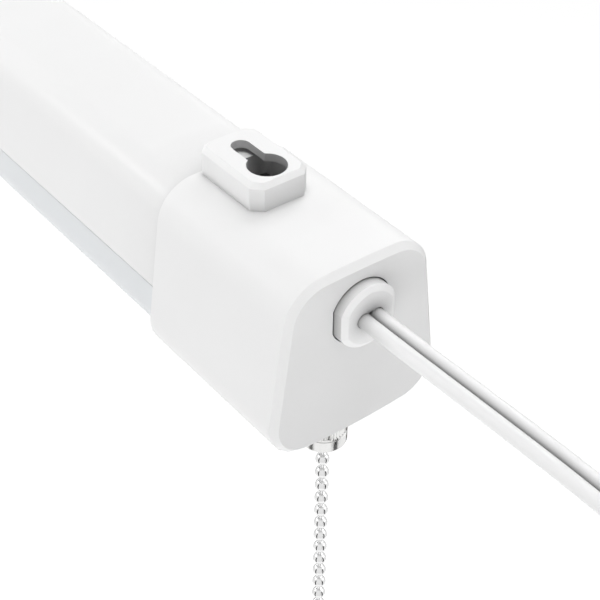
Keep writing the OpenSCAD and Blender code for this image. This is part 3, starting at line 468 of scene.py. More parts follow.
def paint_crease_shade(tree, colour, shade_share, reach):
    """Paints shade into the colour: it goes down towards the given share where other faces stand within
    reach, so creases, hollows and corners look shaded.
    """
    near = tree.nodes.new("ShaderNodeAmbientOcclusion")
    near.samples = CREASE_SAMPLES
    near.inputs["Distance"].default_value = reach
    ranged = tree.nodes.new("ShaderNodeMapRange")
    ranged.inputs["From Min"].default_value = CREASE_DEEP
    ranged.inputs["From Max"].default_value = 1.0
    ranged.inputs["To Min"].default_value = shade_share
    tree.links.new(near.outputs["AO"], ranged.inputs["Value"])
    mix = tree.nodes.new("ShaderNodeMix")
    mix.data_type = "RGBA"
    mix.blend_type = "MULTIPLY"
    mix.inputs[0].default_value = 1
    tree.links.new(colour, mix.inputs[6])
    tree.links.new(ranged.outputs["Result"], mix.inputs[7])
    return mix.outputs[2]


def plastic(name, colour, rough, grain=2600, strength=0.25, change=0.012, scatter=0.0, shade_share=1.0, reach=0.0):
    """Moulded plastic: a fine grain, with colour and gloss that vary slightly. Where its crease share is
    below 1, shade is painted into its colour in creases and hollows.
    """
    material, tree, shader = new_material(name)
    shade_of = tint(tree, noise(tree, TONE_SCALE, 4), colour, change)
    # Shade painted into the colour where other faces stand near
    if shade_share < 1:
        shade_of = paint_crease_shade(tree, shade_of, shade_share, reach)
    tree.links.new(shade_of, shader.inputs["Base Color"])
    tree.links.new(spread(tree, noise(tree, GLOSS_SCALE), *rough), shader.inputs["Roughness"])
    shader.inputs["Subsurface Weight"].default_value = scatter
    shader.inputs["Subsurface Radius"].default_value = (1, 1, 1)
    shader.inputs["Subsurface Scale"].default_value = SCATTER_DEPTH
    roughen(tree, shader, noise(tree, grain), PLASTIC_DEPTH, strength)
    return material


def metal(name, colour, rough, stretch=(1, 1, 1)):
    """Plated or bare metal, with fine marks drawn out along a direction."""
    material, tree, shader = new_material(name)
    marks = noise(tree, METAL_GRAIN, 4, stretch)
    tone = tint(tree, noise(tree, METAL_TONE_SCALE), colour, METAL_TONE_CHANGE)
    tree.links.new(tone, shader.inputs["Base Color"])
    tree.links.new(spread(tree, marks, *rough), shader.inputs["Roughness"])
    shader.inputs["Metallic"].default_value = 1
    roughen(tree, shader, marks, METAL_DEPTH, METAL_STRENGTH)
    return material


def weave(name, colour):
    """Woven strap."""
    material, tree, shader = new_material(name)
    place = tree.nodes.new("ShaderNodeTexCoord")
    rows = tree.nodes.new("ShaderNodeTexWave")
    rows.inputs["Scale"].default_value = STRAP_ROWS
    rows.inputs["Distortion"].default_value = 1.5
    tree.links.new(place.outputs["Object"], rows.inputs["Vector"])
    tree.links.new(tint(tree, noise(tree, 900), colour, 0.25), shader.inputs["Base Color"])
    tree.links.new(spread(tree, noise(tree, 600), 0.75, 0.92), shader.inputs["Roughness"])
    roughen(tree, shader, rows.outputs["Fac"], STRAP_DEPTH, 0.6)
    return material


WHITE = (0.86, 0.86, 0.86)
SLOTS = {
    # The housing, the caps, the strain relief and the cord have shade painted into their colour: darker by
    # the cap's rim, round the lug, in the keyhole, round the bushing and in the cord's groove.
    "housing_plastic": plastic("housing_plastic", WHITE, rough=(0.33, 0.36), grain=300, strength=0.03,
                               shade_share=0.35, reach=0.02),
    "diffuser_plastic": plastic("diffuser_plastic", (0.78, 0.80, 0.815), rough=(0.5, 0.6), grain=1500,
                                strength=0.35, scatter=0.4),
    "cap_plastic": plastic("cap_plastic", WHITE, rough=(0.42, 0.52), strength=0.15, shade_share=0.84, reach=0.014),
    "relief_nylon": plastic("relief_nylon", (0.94, 0.94, 0.94), rough=(0.38, 0.48), shade_share=0.3, reach=0.005),
    "cord_white": plastic("cord_white", (0.86, 0.86, 0.862), rough=(0.32, 0.42), grain=1800, strength=0.15,
                          shade_share=0.42, reach=0.005),
    "plug_white": plastic("plug_white", (0.84, 0.842, 0.84), rough=(0.35, 0.45)),
    "tie_black": weave("tie_black", (0.02, 0.02, 0.021)),
    "blade_metal": metal("blade_metal", (0.7, 0.68, 0.63), (0.22, 0.34), (1, 1, 0.1)),
    "nickel": metal("nickel", (0.74, 0.74, 0.73), (0.16, 0.24), (1, 1, 0.15)),
    "chain_nickel": metal("chain_nickel", (0.78, 0.78, 0.78), (0.05, 0.1)),
    "sheet_aluminium": metal("sheet_aluminium", (0.72, 0.73, 0.74), (0.3, 0.42), (0.05, 1, 1)),
    "screw_steel": metal("screw_steel", (0.62, 0.62, 0.63), (0.22, 0.32)),
    "contact_brass": metal("contact_brass", (0.72, 0.5, 0.18), (0.2, 0.32)),
    "copper_winding": metal("copper_winding", (0.62, 0.24, 0.09), (0.25, 0.35), (1, 1, 4)),
    "board_white": plastic("board_white", (0.8, 0.8, 0.78), rough=(0.4, 0.5)),
    "chip_phosphor": plastic("chip_phosphor", (0.85, 0.68, 0.12), rough=(0.3, 0.4)),
    "white_nylon": plastic("white_nylon", (0.78, 0.78, 0.73), rough=(0.45, 0.55)),
    "insulator_film": plastic("insulator_film", (0.35, 0.45, 0.57), rough=(0.25, 0.35)),
    "board_green": plastic("board_green", (0.02, 0.08, 0.025), rough=(0.3, 0.42), change=0.12),
    "ferrite": plastic("ferrite", (0.03, 0.03, 0.032), rough=(0.55, 0.7), change=0.15),
    "capacitor_sleeve": plastic("capacitor_sleeve", (0.01, 0.012, 0.04), rough=(0.2, 0.3), change=0.1),
    "black_resin": plastic("black_resin", (0.012, 0.012, 0.012), rough=(0.45, 0.6), change=0.15),
    "fuse_sleeve": plastic("fuse_sleeve", (0.45, 0.34, 0.21), rough=(0.4, 0.5), change=0.08),
    "terminal_green": plastic("terminal_green", (0.025, 0.17, 0.065), rough=(0.35, 0.45), change=0.06),
    "lead_red": plastic("lead_red", (0.32, 0.01, 0.008), rough=(0.3, 0.4), change=0.05),
    "lead_black": plastic("lead_black", (0.01, 0.01, 0.01), rough=(0.3, 0.4), change=0.1),
    "lead_white": plastic("lead_white", (0.75, 0.75, 0.74), rough=(0.3, 0.4)),
    "switch_resin": plastic("switch_resin", (0.05, 0.018, 0.008), rough=(0.3, 0.45), change=0.15),
}



def dress_nodes():
    """Gives every CAD node its slot's material."""
    for subpart in frame["record"]["subparts"]:
        node = frame["nodes"][subpart["node"]]
        node.data.materials.clear()
        node.data.materials.append(SLOTS[subpart["material_slot"]])
        node.data.shade_smooth()
        node.data.set_sharp_from_angle(angle=math.radians(NODE_SHARP))


dress_nodes()

# ---- outline of the light ----

SLOPE = (CAP_BOTTOM_W - CAP_TOP_W) / 2 / CAP_H
TILT = math.atan(SLOPE)


def half_width(z, inset):
    """From the middle plane to the straight side at the height z, inset from the cap's outside."""
    return CAP_TOP_W / 2 + (CAP_TOP - z) * SLOPE - inset / math.cos(TILT)


def top_corner():
    """The middle of a top corner's arc, which touches the crown and the side, and where it begins."""
    normal = Vector((math.cos(TILT), math.sin(TILT)))
    along = Vector((-math.sin(TILT), math.cos(TILT)))
    crown_mid = Vector((0, CAP_TOP - CROWN_R))
    start = normal * (Vector((half_width(CAP_TOP, 0), CAP_TOP)).dot(normal) - CORNER_R)
    away = start - crown_mid
    back = away.dot(along)
    step = -back + math.sqrt(back * back - away.length_squared + (CROWN_R - CORNER_R) ** 2)
    middle = start + along * step
    toward = middle - crown_mid
    return middle, math.atan2(toward.y, toward.x)


TOP_MID, CROWN_END = top_corner()
BOTTOM_MID = Vector((half_width(CAP_BOTTOM + CORNER_R, CORNER_R), CAP_BOTTOM + CORNER_R))


def upper_half(inset, z_low):
    """The outline's right half from the top's middle down to z_low on the straight side."""
    crown = arc((0, CAP_TOP - CROWN_R), CROWN_R - inset, math.pi / 2, CROWN_END, 5)
    corner = arc(TOP_MID, CORNER_R - inset, CROWN_END, TILT, 14)
    return crown + corner[1:] + [(half_width(z_low, inset), z_low)]


def lower_half(inset, z_high):
    """The outline's right half from z_high on the straight side down to the bottom's middle."""
    corner = arc(BOTTOM_MID, CORNER_R - inset, TILT, -math.pi / 2, 16)
    return [(half_width(z_high, inset), z_high)] + corner + [(0, CAP_BOTTOM + inset)]


def mirrored(half):
    """The left half of an outline, in the opposite order, without the points in the middle plane."""
    return [(-y, z) for y, z in reversed(half) if abs(y) > 1e-6]


def cap_outline(inset):
    """A cap's whole outline as (y, z), with its crowned top and bottom."""
    right = upper_half(inset, SEAM) + lower_half(inset, SEAM)[1:-1]
    edge = right[-1]
    for i in range(1, CROWN_STEPS + 1):
        y = edge[0] * (1 - i / CROWN_STEPS)
        right.append((y, edge[1] - (edge[0] ** 2 - y ** 2) / (2 * BOTTOM_CROWN_R)))
    return right + mirrored(right)


# ---- housing and diffuser ----

def make_housing():
    """The long cover, with two rails inside each wall that hold the gear tray between them."""
    outer = upper_half(BODY_STEP, SEAM)
    inner = upper_half(BODY_STEP + HOUSING_WALL, SEAM)
    rail_edge = half_width(TRAY + TRAY_T, BODY_STEP + HOUSING_WALL) - RAIL_W
    rails = []
    for z in (TRAY + TRAY_T + SLIDE_GAP, TRAY - SLIDE_GAP - RAIL_T):
        wall = [(half_width(z + t, BODY_STEP + HOUSING_WALL), z + t) for t in (RAIL_T, 0)]
        rails += [wall[0], (rail_edge, z + RAIL_T), (rail_edge, z), wall[1]]
    inner = inner[:-1] + rails + inner[-1:]
    loop = mirrored(outer) + outer + list(reversed(inner)) + list(reversed(mirrored(inner)))
    piece = prism_x("housing_shell", loop, BODY_X0, BODY_X1, BODY_STEPS)
    soften(piece, BODY_EDGE, 2)
    return finish_piece(piece, SLOTS["housing_plastic"], "light", "housing_plastic", "housing")


def make_diffuser():
    """The frosted lower cover, with a lip along each wall that stands up inside the housing."""
    top = SEAM - SEAM_SEEN
    lip_outer = BODY_STEP + HOUSING_WALL + SEAM_GAP
    lip_inner = lip_outer + LIP_WALL
    inner = BODY_STEP + DIFFUSER_WALL
    foot = top - LIP_FOOT
    outside = lower_half(BODY_STEP, top)
    lip = [(half_width(foot, inner), foot), (half_width(foot, lip_inner), foot),
           (half_width(SEAM + LIP_H, lip_inner), SEAM + LIP_H),
           (half_width(SEAM + LIP_H, lip_outer), SEAM + LIP_H), (half_width(top, lip_outer), top)]
    inside = list(reversed(lower_half(inner, foot)))[:-1] + lip
    loop = outside + [(-y, z) for y, z in reversed(outside[:-1])]
    loop += [(-y, z) for y, z in reversed(inside)] + inside[1:]
    piece = prism_x("diffuser_cover", loop, BODY_X0, BODY_X1, BODY_STEPS)
    soften(piece, BODY_EDGE, 2)
    return finish_piece(piece, SLOTS["diffuser_plastic"], "light", "diffuser_plastic", "diffuser")


# ---- end caps ----

def cap_shell(name, face, inward):
    """A cap's cup. Its end face lies at face, and inward is -1 or 1 along X, towards its open rim."""
    rings = [along_x(cap_outline(CAP_WALL), face + inward * CAP_WALL),
             along_x(cap_outline(CAP_WALL), face + inward * CAP_LEN),
             along_x(cap_outline(0), face + inward * CAP_LEN),
             along_x(cap_outline(0), face + inward * CAP_BEVEL),
             along_x(cap_outline(CAP_BEVEL), face)]
    return make_piece(name, *skin(rings))


def lug_outline(inset):
    """A rectangle with its corners cut off, as (x, y) about the lug's middle."""
    half_len, half_w = LUG_LEN / 2 - inset, LUG_W / 2 - inset
    cut = LUG_CORNER - inset * (2 - math.sqrt(2))
    right = [(half_len, cut - half_w), (half_len, half_w - cut),
             (half_len - cut, half_w), (cut - half_len, half_w)]
    return right + [(-x, -y) for x, y in right]


def add_lug(cap, middle):
    """A lug with its keyhole. Under the keyhole's plate it is hollow, and open down into the cap."""
    rings = [[(middle + x, y, z) for x, y in lug_outline(inset)]
             for inset, z in ((0, CAP_TOP - CAP_WALL / 2), (0, -LUG_BEVEL), (LUG_BEVEL, 0))]
    carve(cap, make_piece("lug", *skin(rings)), "UNION")
    entry = (middle + ENTRY_SHIFT, 0)
    slot_end = (entry[0] - SLOT_RUN, 0)

    def keyway(r, z0, z1, name):
        tail = arc(slot_end, r, math.pi / 2, 3 * math.pi / 2, 20)
        carve(cap, prism_z(name, tail + [(entry[0], -r), (entry[0], r)], z0, z1), "DIFFERENCE")

    keyway(HEAD_SPACE_R, -KEYHOLE_PLATE - HEAD_SPACE_H, -KEYHOLE_PLATE, "head_space")
    hollow = rounded_rectangle(HOLLOW_X, HOLLOW_Y, HOLLOW_CORNER)
    hollow = [(entry[0] + x - HOLLOW_SHIFT, y) for x, y in hollow]
    carve(cap, prism_z("hollow", hollow, CAP_TOP - CAP_WALL - CUT_PAST, -KEYHOLE_PLATE), "DIFFERENCE")
    keyway(SLOT_W / 2, -KEYHOLE_PLATE - CUT_PAST, CUT_PAST, "slot")
    way_in = circle(entry, ENTRY_R, 64)
    carve(cap, prism_z("entry", way_in, -KEYHOLE_PLATE - CUT_PAST, CUT_PAST), "DIFFERENCE")


def relief_outline(r, flat, count=18):
    """A circle with a flat on its left and right, as (y, z) about the cord's axis."""
    a = math.acos(flat / r)
    right = arc((0, 0), r, a, math.pi - a, count)
    return right + [(-y, -z) for y, z in right]


def shifted(points, z):
    """Points given as (y, z), raised by z."""
    return [(y, z + height) for y, height in points]


def make_caps():
    cord_cap = cap_shell("cap_with_cord", CORD_FACE, -1)
    add_lug(cord_cap, CORD_FACE - LUG_SETBACK)
    hole = shifted(relief_outline(RELIEF_R + RELIEF_GAP, RELIEF_FLAT + RELIEF_GAP, 30), CORD_Z)
    hole = prism_x("hole", hole, CORD_FACE - CAP_WALL - CUT_PAST, CORD_FACE + CUT_PAST)
    carve(cord_cap, hole, "DIFFERENCE")
    switch_hole = circle((CHAIN_X, 0), NIPPLE_HOLE_R, 48)
    switch_hole = prism_z("hole", switch_hole, CAP_BOTTOM - CUT_PAST, CAP_BOTTOM + CAP_WALL + CUT_PAST)
    carve(cord_cap, switch_hole, "DIFFERENCE")
    plain_cap = cap_shell("cap_plain", PLAIN_FACE, 1)
    add_lug(plain_cap, PLAIN_FACE + LUG_SETBACK)
    for piece, node in ((cord_cap, "end_cap_cord"), (plain_cap, "end_cap_plain")):
        soften(piece, CAP_EDGE)
        finish_piece(piece, SLOTS["cap_plastic"], "light", "cap_plastic", node)


# ---- strain relief ----

def two_core_outline(clear, web, count=14):
    """The flat cord's section as (y, z): two round cores with a groove between them."""
    r = CORE_D / 2 + clear
    a = math.asin(web / r)
    right = arc((CORE_D / 2, 0), r, -math.pi + a, math.pi - a, count)
    return right + [(-y, -z) for y, z in right]


def make_relief():
    """The bushing that grips the cord, with its collar and barrel behind the end face."""
    x_wall = CORD_FACE - CAP_WALL
    rings = []
    for inset, x in ((0, x_wall - CUT_PAST), (0, CORD_FACE + RELIEF_STRAIGHT),
                     (RELIEF_BEVEL_W, CORD_FACE + RELIEF_STRAIGHT + RELIEF_BEVEL)):
        rings.append(along_x(shifted(relief_outline(RELIEF_R - inset, RELIEF_FLAT - inset), CORD_Z), x))
    piece = make_piece("cord_grip", *skin(rings))
    collar = circle((0, CORD_Z), COLLAR_R, 64)
    carve(piece, prism_x("collar", collar, x_wall - COLLAR_T, x_wall), "UNION")
    barrel = circle((0, CORD_Z), BARREL_R, 64)
    carve(piece, prism_x("barrel", barrel, x_wall - COLLAR_T - BARREL_LEN, x_wall - CUT_PAST), "UNION")
    way = shifted(two_core_outline(CORD_CLEAR, WAY_WEB), CORD_Z)
    way = prism_x("way", way, x_wall - COLLAR_T - BARREL_LEN - CUT_PAST, CORD_FACE + WAY_PAST)
    carve(piece, way, "DIFFERENCE")
    soften(piece, RELIEF_EDGE, 2, 22)
    shade(piece, 25)
    return finish_piece(piece, SLOTS["relief_nylon"], "light", "relief_nylon", "strain_relief")


# ---- cord, tie and plug ----

def make_cord():
    """The whole flat cord in one piece, and the path that it follows."""
    path = cord_path()
    section = two_core_outline(0, CORD_WEB, 16)
    rings = []
    for i, point in enumerate(path):
        way = (path[min(i + 1, len(path) - 1)] - path[max(i - 1, 0)]).normalized()
        side = Vector((-way.z, 0, way.x)).normalized()
        rings.append([point + side * z + Vector((0, y, 0)) for y, z in section])
    piece = make_piece("flex", *skin(rings))
    shade(piece)
    finish_piece(piece, SLOTS["cord_white"], "light", "cord_white", "cord_run", "cord_coil", "cord_tail")
    return piece, path


def make_tie():
    """A woven strap with round corners, wrapped once round the coil's turns."""
    sag = (TIE_W / 2) ** 2 / (2 * COIL_IN_R) + COIL_IN_R * (1 - math.cos(math.pi / SOLID_RINGS))
    x0 = COIL_MID.x + COIL_IN_R + COIL_STEP / 2 - CORE_D / 2 - TIE_CLEAR - sag
    x1 = COIL_MID.x + COIL_OUT_R - COIL_STEP / 2 + CORE_D / 2 + TIE_CLEAR
    y0 = -CORD_W / 2 - TIE_CLEAR
    y1 = LAYER_STEP + CORD_W / 2 + TIE_CLEAR
    mid_x, mid_y = (x0 + x1) / 2, (y0 + y1) / 2
    half_x, half_y = (x1 - x0) / 2, (y1 - y0) / 2
    inner = rounded_rectangle(half_x, half_y, TIE_CORNER)
    outer = rounded_rectangle(half_x + TIE_T, half_y + TIE_T, TIE_CORNER + TIE_T)
    rings = []
    for z, out in ((-1, 0), (-1, 1), (1, 1), (1, 0)):
        points = outer if out else inner
        rings.append([(mid_x + x, mid_y + y, COIL_MID.z + z * TIE_W / 2) for x, y in points])
    rings.append(rings[0])
    piece = make_piece("strap", *skin(rings, False, False))
    soften(piece, TIE_EDGE)
    return finish_piece(piece, SLOTS["tie_black"], "light", "tie_black", "cord_tie")


PLUG_W = 25.0
PLUG_T = 14.0
PLUG_LEN = 20.0
PLUG_NECK = 9.0
PLUG_CORNER = 3.2
PLUG_CORNER_LEAST = 1.6
PLUG_EDGE = 0.3
NECK_HALF_T = 3.7
NECK_HALF_W = 5.55
NECK_CORNER = 2.0
# Heights above the plug's face, each with how far the side is drawn in there
PLUG_BODY = [(0, 0.6), (0.6, 0), (4, 0), (5.2, 1.4), (9, 2.0), (13, 2.0), (17, 1.6), (19, 2.4), (20, 3.4)]
PLUG_RIBS = [(17, 0.0), (20, 0.0), (21.5, 0.2), (21.5, 0.9), (23, 0.9), (23, 0.3), (24.5, 0.4), (24.5, 1.0),
             (26, 1.0), (26, 0.5), (27.6, 0.6), (27.6, 1.1), (29, 1.2)]


def plug_ring(half_x, half_y, r, height):
    """A ring round the plug's axis, at a height above its face."""
    z = PLUG_TOP.z - PLUG_NECK - PLUG_LEN + height
    return [(PLUG_TOP.x + x, PLUG_TOP.y + y, z) for x, y in rounded_rectangle(half_x, half_y, r, 8)]


def make_plug():
    """The plug's moulded body, with a broad face, a waist to hold it by and a ribbed neck."""
    rings = []
    for height, inset in PLUG_BODY:
        corner = max(PLUG_CORNER - inset * 0.4, PLUG_CORNER_LEAST)
        rings.append(plug_ring(PLUG_T / 2 - inset, PLUG_W / 2 - inset, corner, height))
    piece = make_piece("plug", *skin(rings))
    rings = [plug_ring(NECK_HALF_T - inset * 0.9, NECK_HALF_W - inset, NECK_CORNER, height)
             for height, inset in PLUG_RIBS]
    carve(piece, make_piece("neck", *skin(rings)), "UNION")
    soften(piece, PLUG_EDGE)
    return finish_piece(piece, SLOTS["plug_white"], "light", "plug_white", "plug_body")


# ---- switch ----

KNURL_DEPTHS = (0, 0.2, 0.42, 0.2)  # how deep the surface lies at each step of one knurl
# The nut's profile: height, radius, and 1 where the knurls are cut
NUT_PROFILE = [(NUT_H - 0.25, NUT_R - 0.3, 0), (NUT_H, NUT_BORE_R, 0), (0, NUT_BORE_R, 0),
               (0, NUT_R - 0.35, 0), (0.15, NUT_R - 0.2, 0), (KNURL_FOOT - 0.35, NUT_R - 0.2, 0),
               (KNURL_FOOT, NUT_R, 1), (NUT_H - 0.35, NUT_R, 1)]


def make_nut():
    """The nut under the cap, with straight knurls above a smooth foot."""
    count = KNURLS * len(KNURL_DEPTHS)
    rings = []
    for i in range(count):
        a = 2 * math.pi * i / count
        depth = KNURL_DEPTHS[i % len(KNURL_DEPTHS)]
        profile = [(r - cut * depth, NUT_Z0 + z) for z, r, cut in NUT_PROFILE]
        rings.append([(CHAIN_X + r * math.cos(a), r * math.sin(a), z) for r, z in profile])
    rings.append(rings[0])
    piece = make_piece("switch_nut", *skin(rings, False, False))
    shade(piece, 38)
    return finish_piece(piece, SLOTS["nickel"], "light", "nickel", "knurled_nut")


def make_mouth():
    """The bell mouth that the chain comes out of, with a rolled lower edge and a flared bore."""
    z0, z1 = MOUTH_Z0, NUT_Z0 - SEAM_SEEN
    outside = arc((MOUTH_R - MOUTH_ROLL, z0 + MOUTH_ROLL), MOUTH_ROLL, -math.pi / 2, 0, 6)
    shoulder = arc((MOUTH_R - MOUTH_SHOULDER, z1 - MOUTH_SHOULDER), MOUTH_SHOULDER, 0, math.pi / 2, 3)
    inside = [(NUT_BORE_R, z1), (NUT_BORE_R, z0 + MOUTH_FLOOR), (BORE_R, z0 + MOUTH_FLOOR)]
    flare = [(BORE_R, z0 + 1.5), (BORE_R + 0.2, z0 + 0.9), (FLARE_R - 0.9, z0 + 0.35),
             (FLARE_R - 0.3, z0 + 0.08)]
    piece = lathe("switch_mouth", outside + shoulder + inside + flare, 72)
    shade(piece, 40)
    return finish_piece(piece, SLOTS["nickel"], "light", "nickel", "bell_mouth")


# ---- bead chain ----

def add_bead(work, z):
    """A bead is a hollow ball whose two holes show as small flats round the link."""
    r = BEAD_D / 2
    place = Matrix.Translation((CHAIN_X, 0, z))
    made = bmesh.ops.create_uvsphere(work, u_segments=32, v_segments=20, radius=r, matrix=place)
    for v in made["verts"]:
        height = v.co.z - z
        if abs(height) > r * BEAD_FLAT:
            v.co.z = z + math.copysign(r * BEAD_FLAT, height)


def add_link(work, z0, z1):
    place = Matrix.Translation((CHAIN_X, 0, (z0 + z1) / 2))
    bmesh.ops.create_cone(work, cap_ends=True, segments=16, radius1=LINK_D / 2, radius2=LINK_D / 2,
                          depth=z1 - z0, matrix=place)


def make_chain(name, body, node, beads, link):
    """Beads at these heights, with a link that runs through them between its two heights."""
    work = bmesh.new()
    for z in beads:
        add_bead(work, z)
    if link:
        add_link(work, *link)
    mesh = bpy.data.meshes.new(name)
    work.to_mesh(mesh)
    work.free()
    piece = bpy.data.objects.new(name, mesh)
    bpy.context.scene.collection.objects.link(piece)
    shade(piece, 60)
    return finish_piece(piece, SLOTS["chain_nickel"], body, "chain_nickel", node)


def make_bell(z1):
    """The bell at the chain's end, which draws in towards its top at z1."""
    z0 = z1 - BELL_LEN
    profile = [(BELL_CORE_R, z0 + 0.6), (BELL_R - 1.2, z0)]
    profile += arc((BELL_R - BELL_LIP_R, z0 + BELL_LIP_R), BELL_LIP_R, -math.pi / 2, 0, 6)
    for i in range(BELL_STEPS + 1):
        t = i / BELL_STEPS
        height = BELL_RISE + (BELL_LEN - BELL_RISE - BELL_NECK_LEN) * t
        profile.append((BELL_R - (BELL_R - BELL_NECK_R) * ease(t), z0 + height))
    profile += arc((BELL_NECK_R - BELL_TOP_R, z0 + BELL_LEN - BELL_TOP_R), BELL_TOP_R, 0, math.pi / 2, 5)
    bell = lathe("pull_bell", profile + [(BELL_CORE_R, z0 + BELL_LEN)], 48)
    shade(bell, 45)
    finish_piece(bell, SLOTS["chain_nickel"], "hanging_chain", "chain_nickel", "chain_bell")


def make_chains():
    """The chain's three stretches, each on the body that moves it, and the bell."""
    r = BEAD_D / 2
    top = [PIVOT_Z + BEAD_PITCH * i for i in range(1, BEADS_IN_SWITCH + 1)]
    make_chain("beads_in_switch", "chain_in_switch", "chain_top", top, (PIVOT_Z + r + LINK_CLEAR, top[-1]))
    make_chain("first_bead", "pivot_bead", "chain_pivot_bead", [PIVOT_Z], None)
    drop = [PIVOT_Z - BEAD_PITCH * i for i in range(1, HANGING_BEADS + 1)]
    bell_top = drop[-1] - BEAD_PITCH
    make_chain("beads", "hanging_chain", "chain_drop", drop, (bell_top, PIVOT_Z - r - LINK_CLEAR))
    make_bell(bell_top)


# ---- building ----

cord, path = make_cord()
plug = make_plug()
tie = make_tie()
make_housing()
make_diffuser()
make_caps()
make_relief()
make_nut()
make_mouth()
make_chains()

# ---- floor, world, lamps and cards, in metres ----

FLOOR_Z = -1.2
FLOOR_HALF = 20
FLOOR_PAINT = 0.82
SKY = 0.0               # strength of the even light from all round
BACKGROUND = 1.0        # strength of what is seen there
FLOOR_GLOW = 1.35       # brings the lit floor up to the background's white
FLOOR_GLOW_SHARE = 0.7  # the rest of what is seen is the lit floor, with the object's shadow
LAMP_TARGET = Vector((0.5, 0, -0.03))
PLAIN_TARGET = Vector((-0.5, 0, -0.03))
LAMP_DISTANCE = 1.8
# Name, azimuth, elevation, power in watts, diameter, whether reflections show it, and what it looks at
LAMPS = [
    ("top", 0, 88, 21.8, 1.1, True, LAMP_TARGET),
    ("low_near", 240, -10, 16.8, 1.1, False, LAMP_TARGET),
    ("low_end", 0, -10, 15.8, 1.1, False, LAMP_TARGET),
    ("back", 120, 50, 9.8, 1.1, True, LAMP_TARGET),
    ("low_front", 300, -10, 9.4, 1.1, False, LAMP_TARGET),
    ("far_end", 180, 20, 3.6, 1.1, True, LAMP_TARGET),
    ("far_side", 60, 20, 3.3, 1.1, True, LAMP_TARGET),
    ("far_back", 120, 20, 2.0, 1.1, True, LAMP_TARGET),
    ("end", 0, 20, 1.8, 1.1, False, LAMP_TARGET),
    ("front", 300, 20, 1.5, 1.1, False, LAMP_TARGET),
    ("corner", 225, 29, 3.1, 0.6, True, LAMP_TARGET),
    ("plain_end", 180, 12, 3.5, 0.6, False, PLAIN_TARGET),
]
CARD_TARGET = Vector((0.58, 0, -0.08))
CARD_DISTANCE = 0.9
CARD_PAINT = 0.02
# Name, azimuth, elevation, width and height
CARDS = [
    ("card_behind", 142, -38, 0.9, 0.6),
    ("card_left", 263, -12, 0.3, 1.5),
    ("card_right", 24, -12, 0.3, 1.5),
]


def is_seen(tree):
    """1 for camera, glossy and transmission rays, and 0 for the rest."""
    path_node = tree.nodes.new("ShaderNodeLightPath")
    total = path_node.outputs["Is Camera Ray"]
    for name in ("Is Glossy Ray", "Is Transmission Ray"):
        add = tree.nodes.new("ShaderNodeMath")
        add.operation = "MAXIMUM"
        tree.links.new(total, add.inputs[0])
        tree.links.new(path_node.outputs[name], add.inputs[1])
        total = add.outputs[0]
    return total


def make_world():
    """An even sky, whose strength for seen rays is the background's."""
    world = bpy.data.worlds.new("studio")
    bpy.context.scene.world = world
    world.use_nodes = True
    tree = world.node_tree
    tree.nodes.clear()
    light, seen = tree.nodes.new("ShaderNodeBackground"), tree.nodes.new("ShaderNodeBackground")
    light.inputs["Strength"].default_value = SKY
    light.inputs["Color"].default_value = (1, 1, 1, 1)
    seen.inputs["Strength"].default_value = BACKGROUND
    seen.inputs["Color"].default_value = (1, 1, 1, 1)
    mix, out = tree.nodes.new("ShaderNodeMixShader"), tree.nodes.new("ShaderNodeOutputWorld")
    tree.links.new(is_seen(tree), mix.inputs[0])
    tree.links.new(light.outputs[0], mix.inputs[1])
    tree.links.new(seen.outputs[0], mix.inputs[2])
    tree.links.new(mix.outputs[0], out.inputs["Surface"])


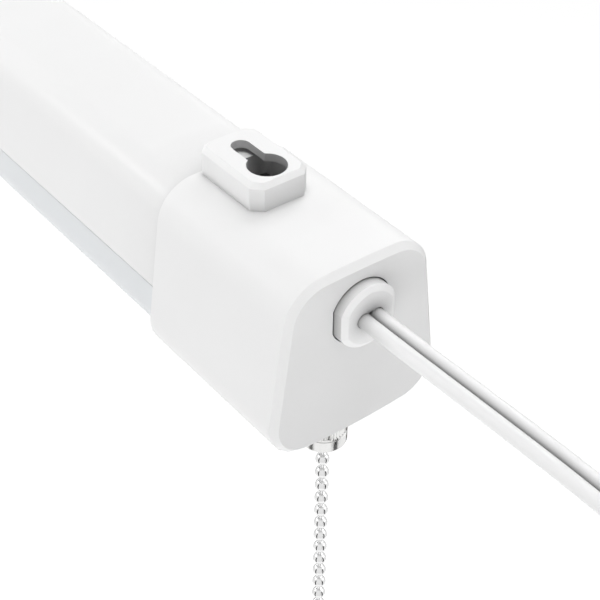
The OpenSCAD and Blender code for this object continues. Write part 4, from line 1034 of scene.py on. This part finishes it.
def make_floor():
    """A plain pale floor. Its glow is only for what sees it, so the object's shadow stays on it."""
    corners = [(x * FLOOR_HALF, y * FLOOR_HALF, FLOOR_Z) for x, y in ((-1, -1), (1, -1), (1, 1), (-1, 1))]
    mesh = bpy.data.meshes.new("floor")
    mesh.from_pydata(corners, [], [(0, 1, 2, 3)])
    floor = bpy.data.objects.new("floor", mesh)
    bpy.context.scene.collection.objects.link(floor)
    material = bpy.data.materials.new("floor")
    material.use_nodes = True
    tree = material.node_tree
    tree.nodes.clear()
    paint, glow = tree.nodes.new("ShaderNodeBsdfDiffuse"), tree.nodes.new("ShaderNodeEmission")
    paint.inputs["Color"].default_value = (FLOOR_PAINT, FLOOR_PAINT, FLOOR_PAINT, 1)
    glow.inputs["Strength"].default_value = FLOOR_GLOW
    share = tree.nodes.new("ShaderNodeMath")
    share.operation = "MULTIPLY"
    share.inputs[1].default_value = FLOOR_GLOW_SHARE
    tree.links.new(is_seen(tree), share.inputs[0])
    mix, out = tree.nodes.new("ShaderNodeMixShader"), tree.nodes.new("ShaderNodeOutputMaterial")
    tree.links.new(share.outputs[0], mix.inputs[0])
    tree.links.new(paint.outputs[0], mix.inputs[1])
    tree.links.new(glow.outputs[0], mix.inputs[2])
    tree.links.new(mix.outputs[0], out.inputs["Surface"])
    floor.data.materials.append(material)


def way_to(azimuth, elevation):
    """The direction at these angles in degrees, from +X and from level."""
    turn, rise = math.radians(azimuth), math.radians(elevation)
    return Vector((math.cos(turn) * math.cos(rise), math.sin(turn) * math.cos(rise), math.sin(rise)))


def make_lamp(name, azimuth, elevation, power, size, mirrored_too, target):
    """A soft round lamp that looks at its target from LAMP_DISTANCE. Only some show in reflections."""
    data = bpy.data.lights.new(name, "AREA")
    data.shape = "DISK"
    data.size = size
    data.energy = power
    lamp = bpy.data.objects.new(name, data)
    way = way_to(azimuth, elevation)
    lamp.location = target + way * LAMP_DISTANCE
    lamp.rotation_euler = (-way).to_track_quat("-Z", "Y").to_euler()
    lamp.visible_glossy = mirrored_too
    bpy.context.scene.collection.objects.link(lamp)


def make_card(name, azimuth, elevation, width, height):
    """A dark studio card that only reflections see, which gives plated metal its dark lines."""
    facing = -way_to(azimuth, elevation)
    across = facing.cross(Vector((0, 0, 1))).normalized() * width / 2
    upward = across.cross(facing).normalized() * height / 2
    middle = CARD_TARGET - facing * CARD_DISTANCE
    corners = [middle - across - upward, middle + across - upward, middle + across + upward,
               middle - across + upward]
    mesh = bpy.data.meshes.new(name)
    mesh.from_pydata([tuple(c) for c in corners], [], [(0, 1, 2, 3)])
    card = bpy.data.objects.new(name, mesh)
    bpy.context.scene.collection.objects.link(card)
    material = bpy.data.materials.new(name)
    material.use_nodes = True
    shader = material.node_tree.nodes["Principled BSDF"]
    shader.inputs["Base Color"].default_value = (CARD_PAINT, CARD_PAINT, CARD_PAINT, 1)
    shader.inputs["Roughness"].default_value = 1
    card.data.materials.append(material)
    card.visible_camera = False
    card.visible_diffuse = False
    card.visible_shadow = False
    card.visible_transmission = False


make_world()
make_floor()
for lamp in LAMPS:
    make_lamp(*lamp)
for card in CARDS:
    make_card(*card)

bpy.context.scene.view_settings.view_transform = "Standard"
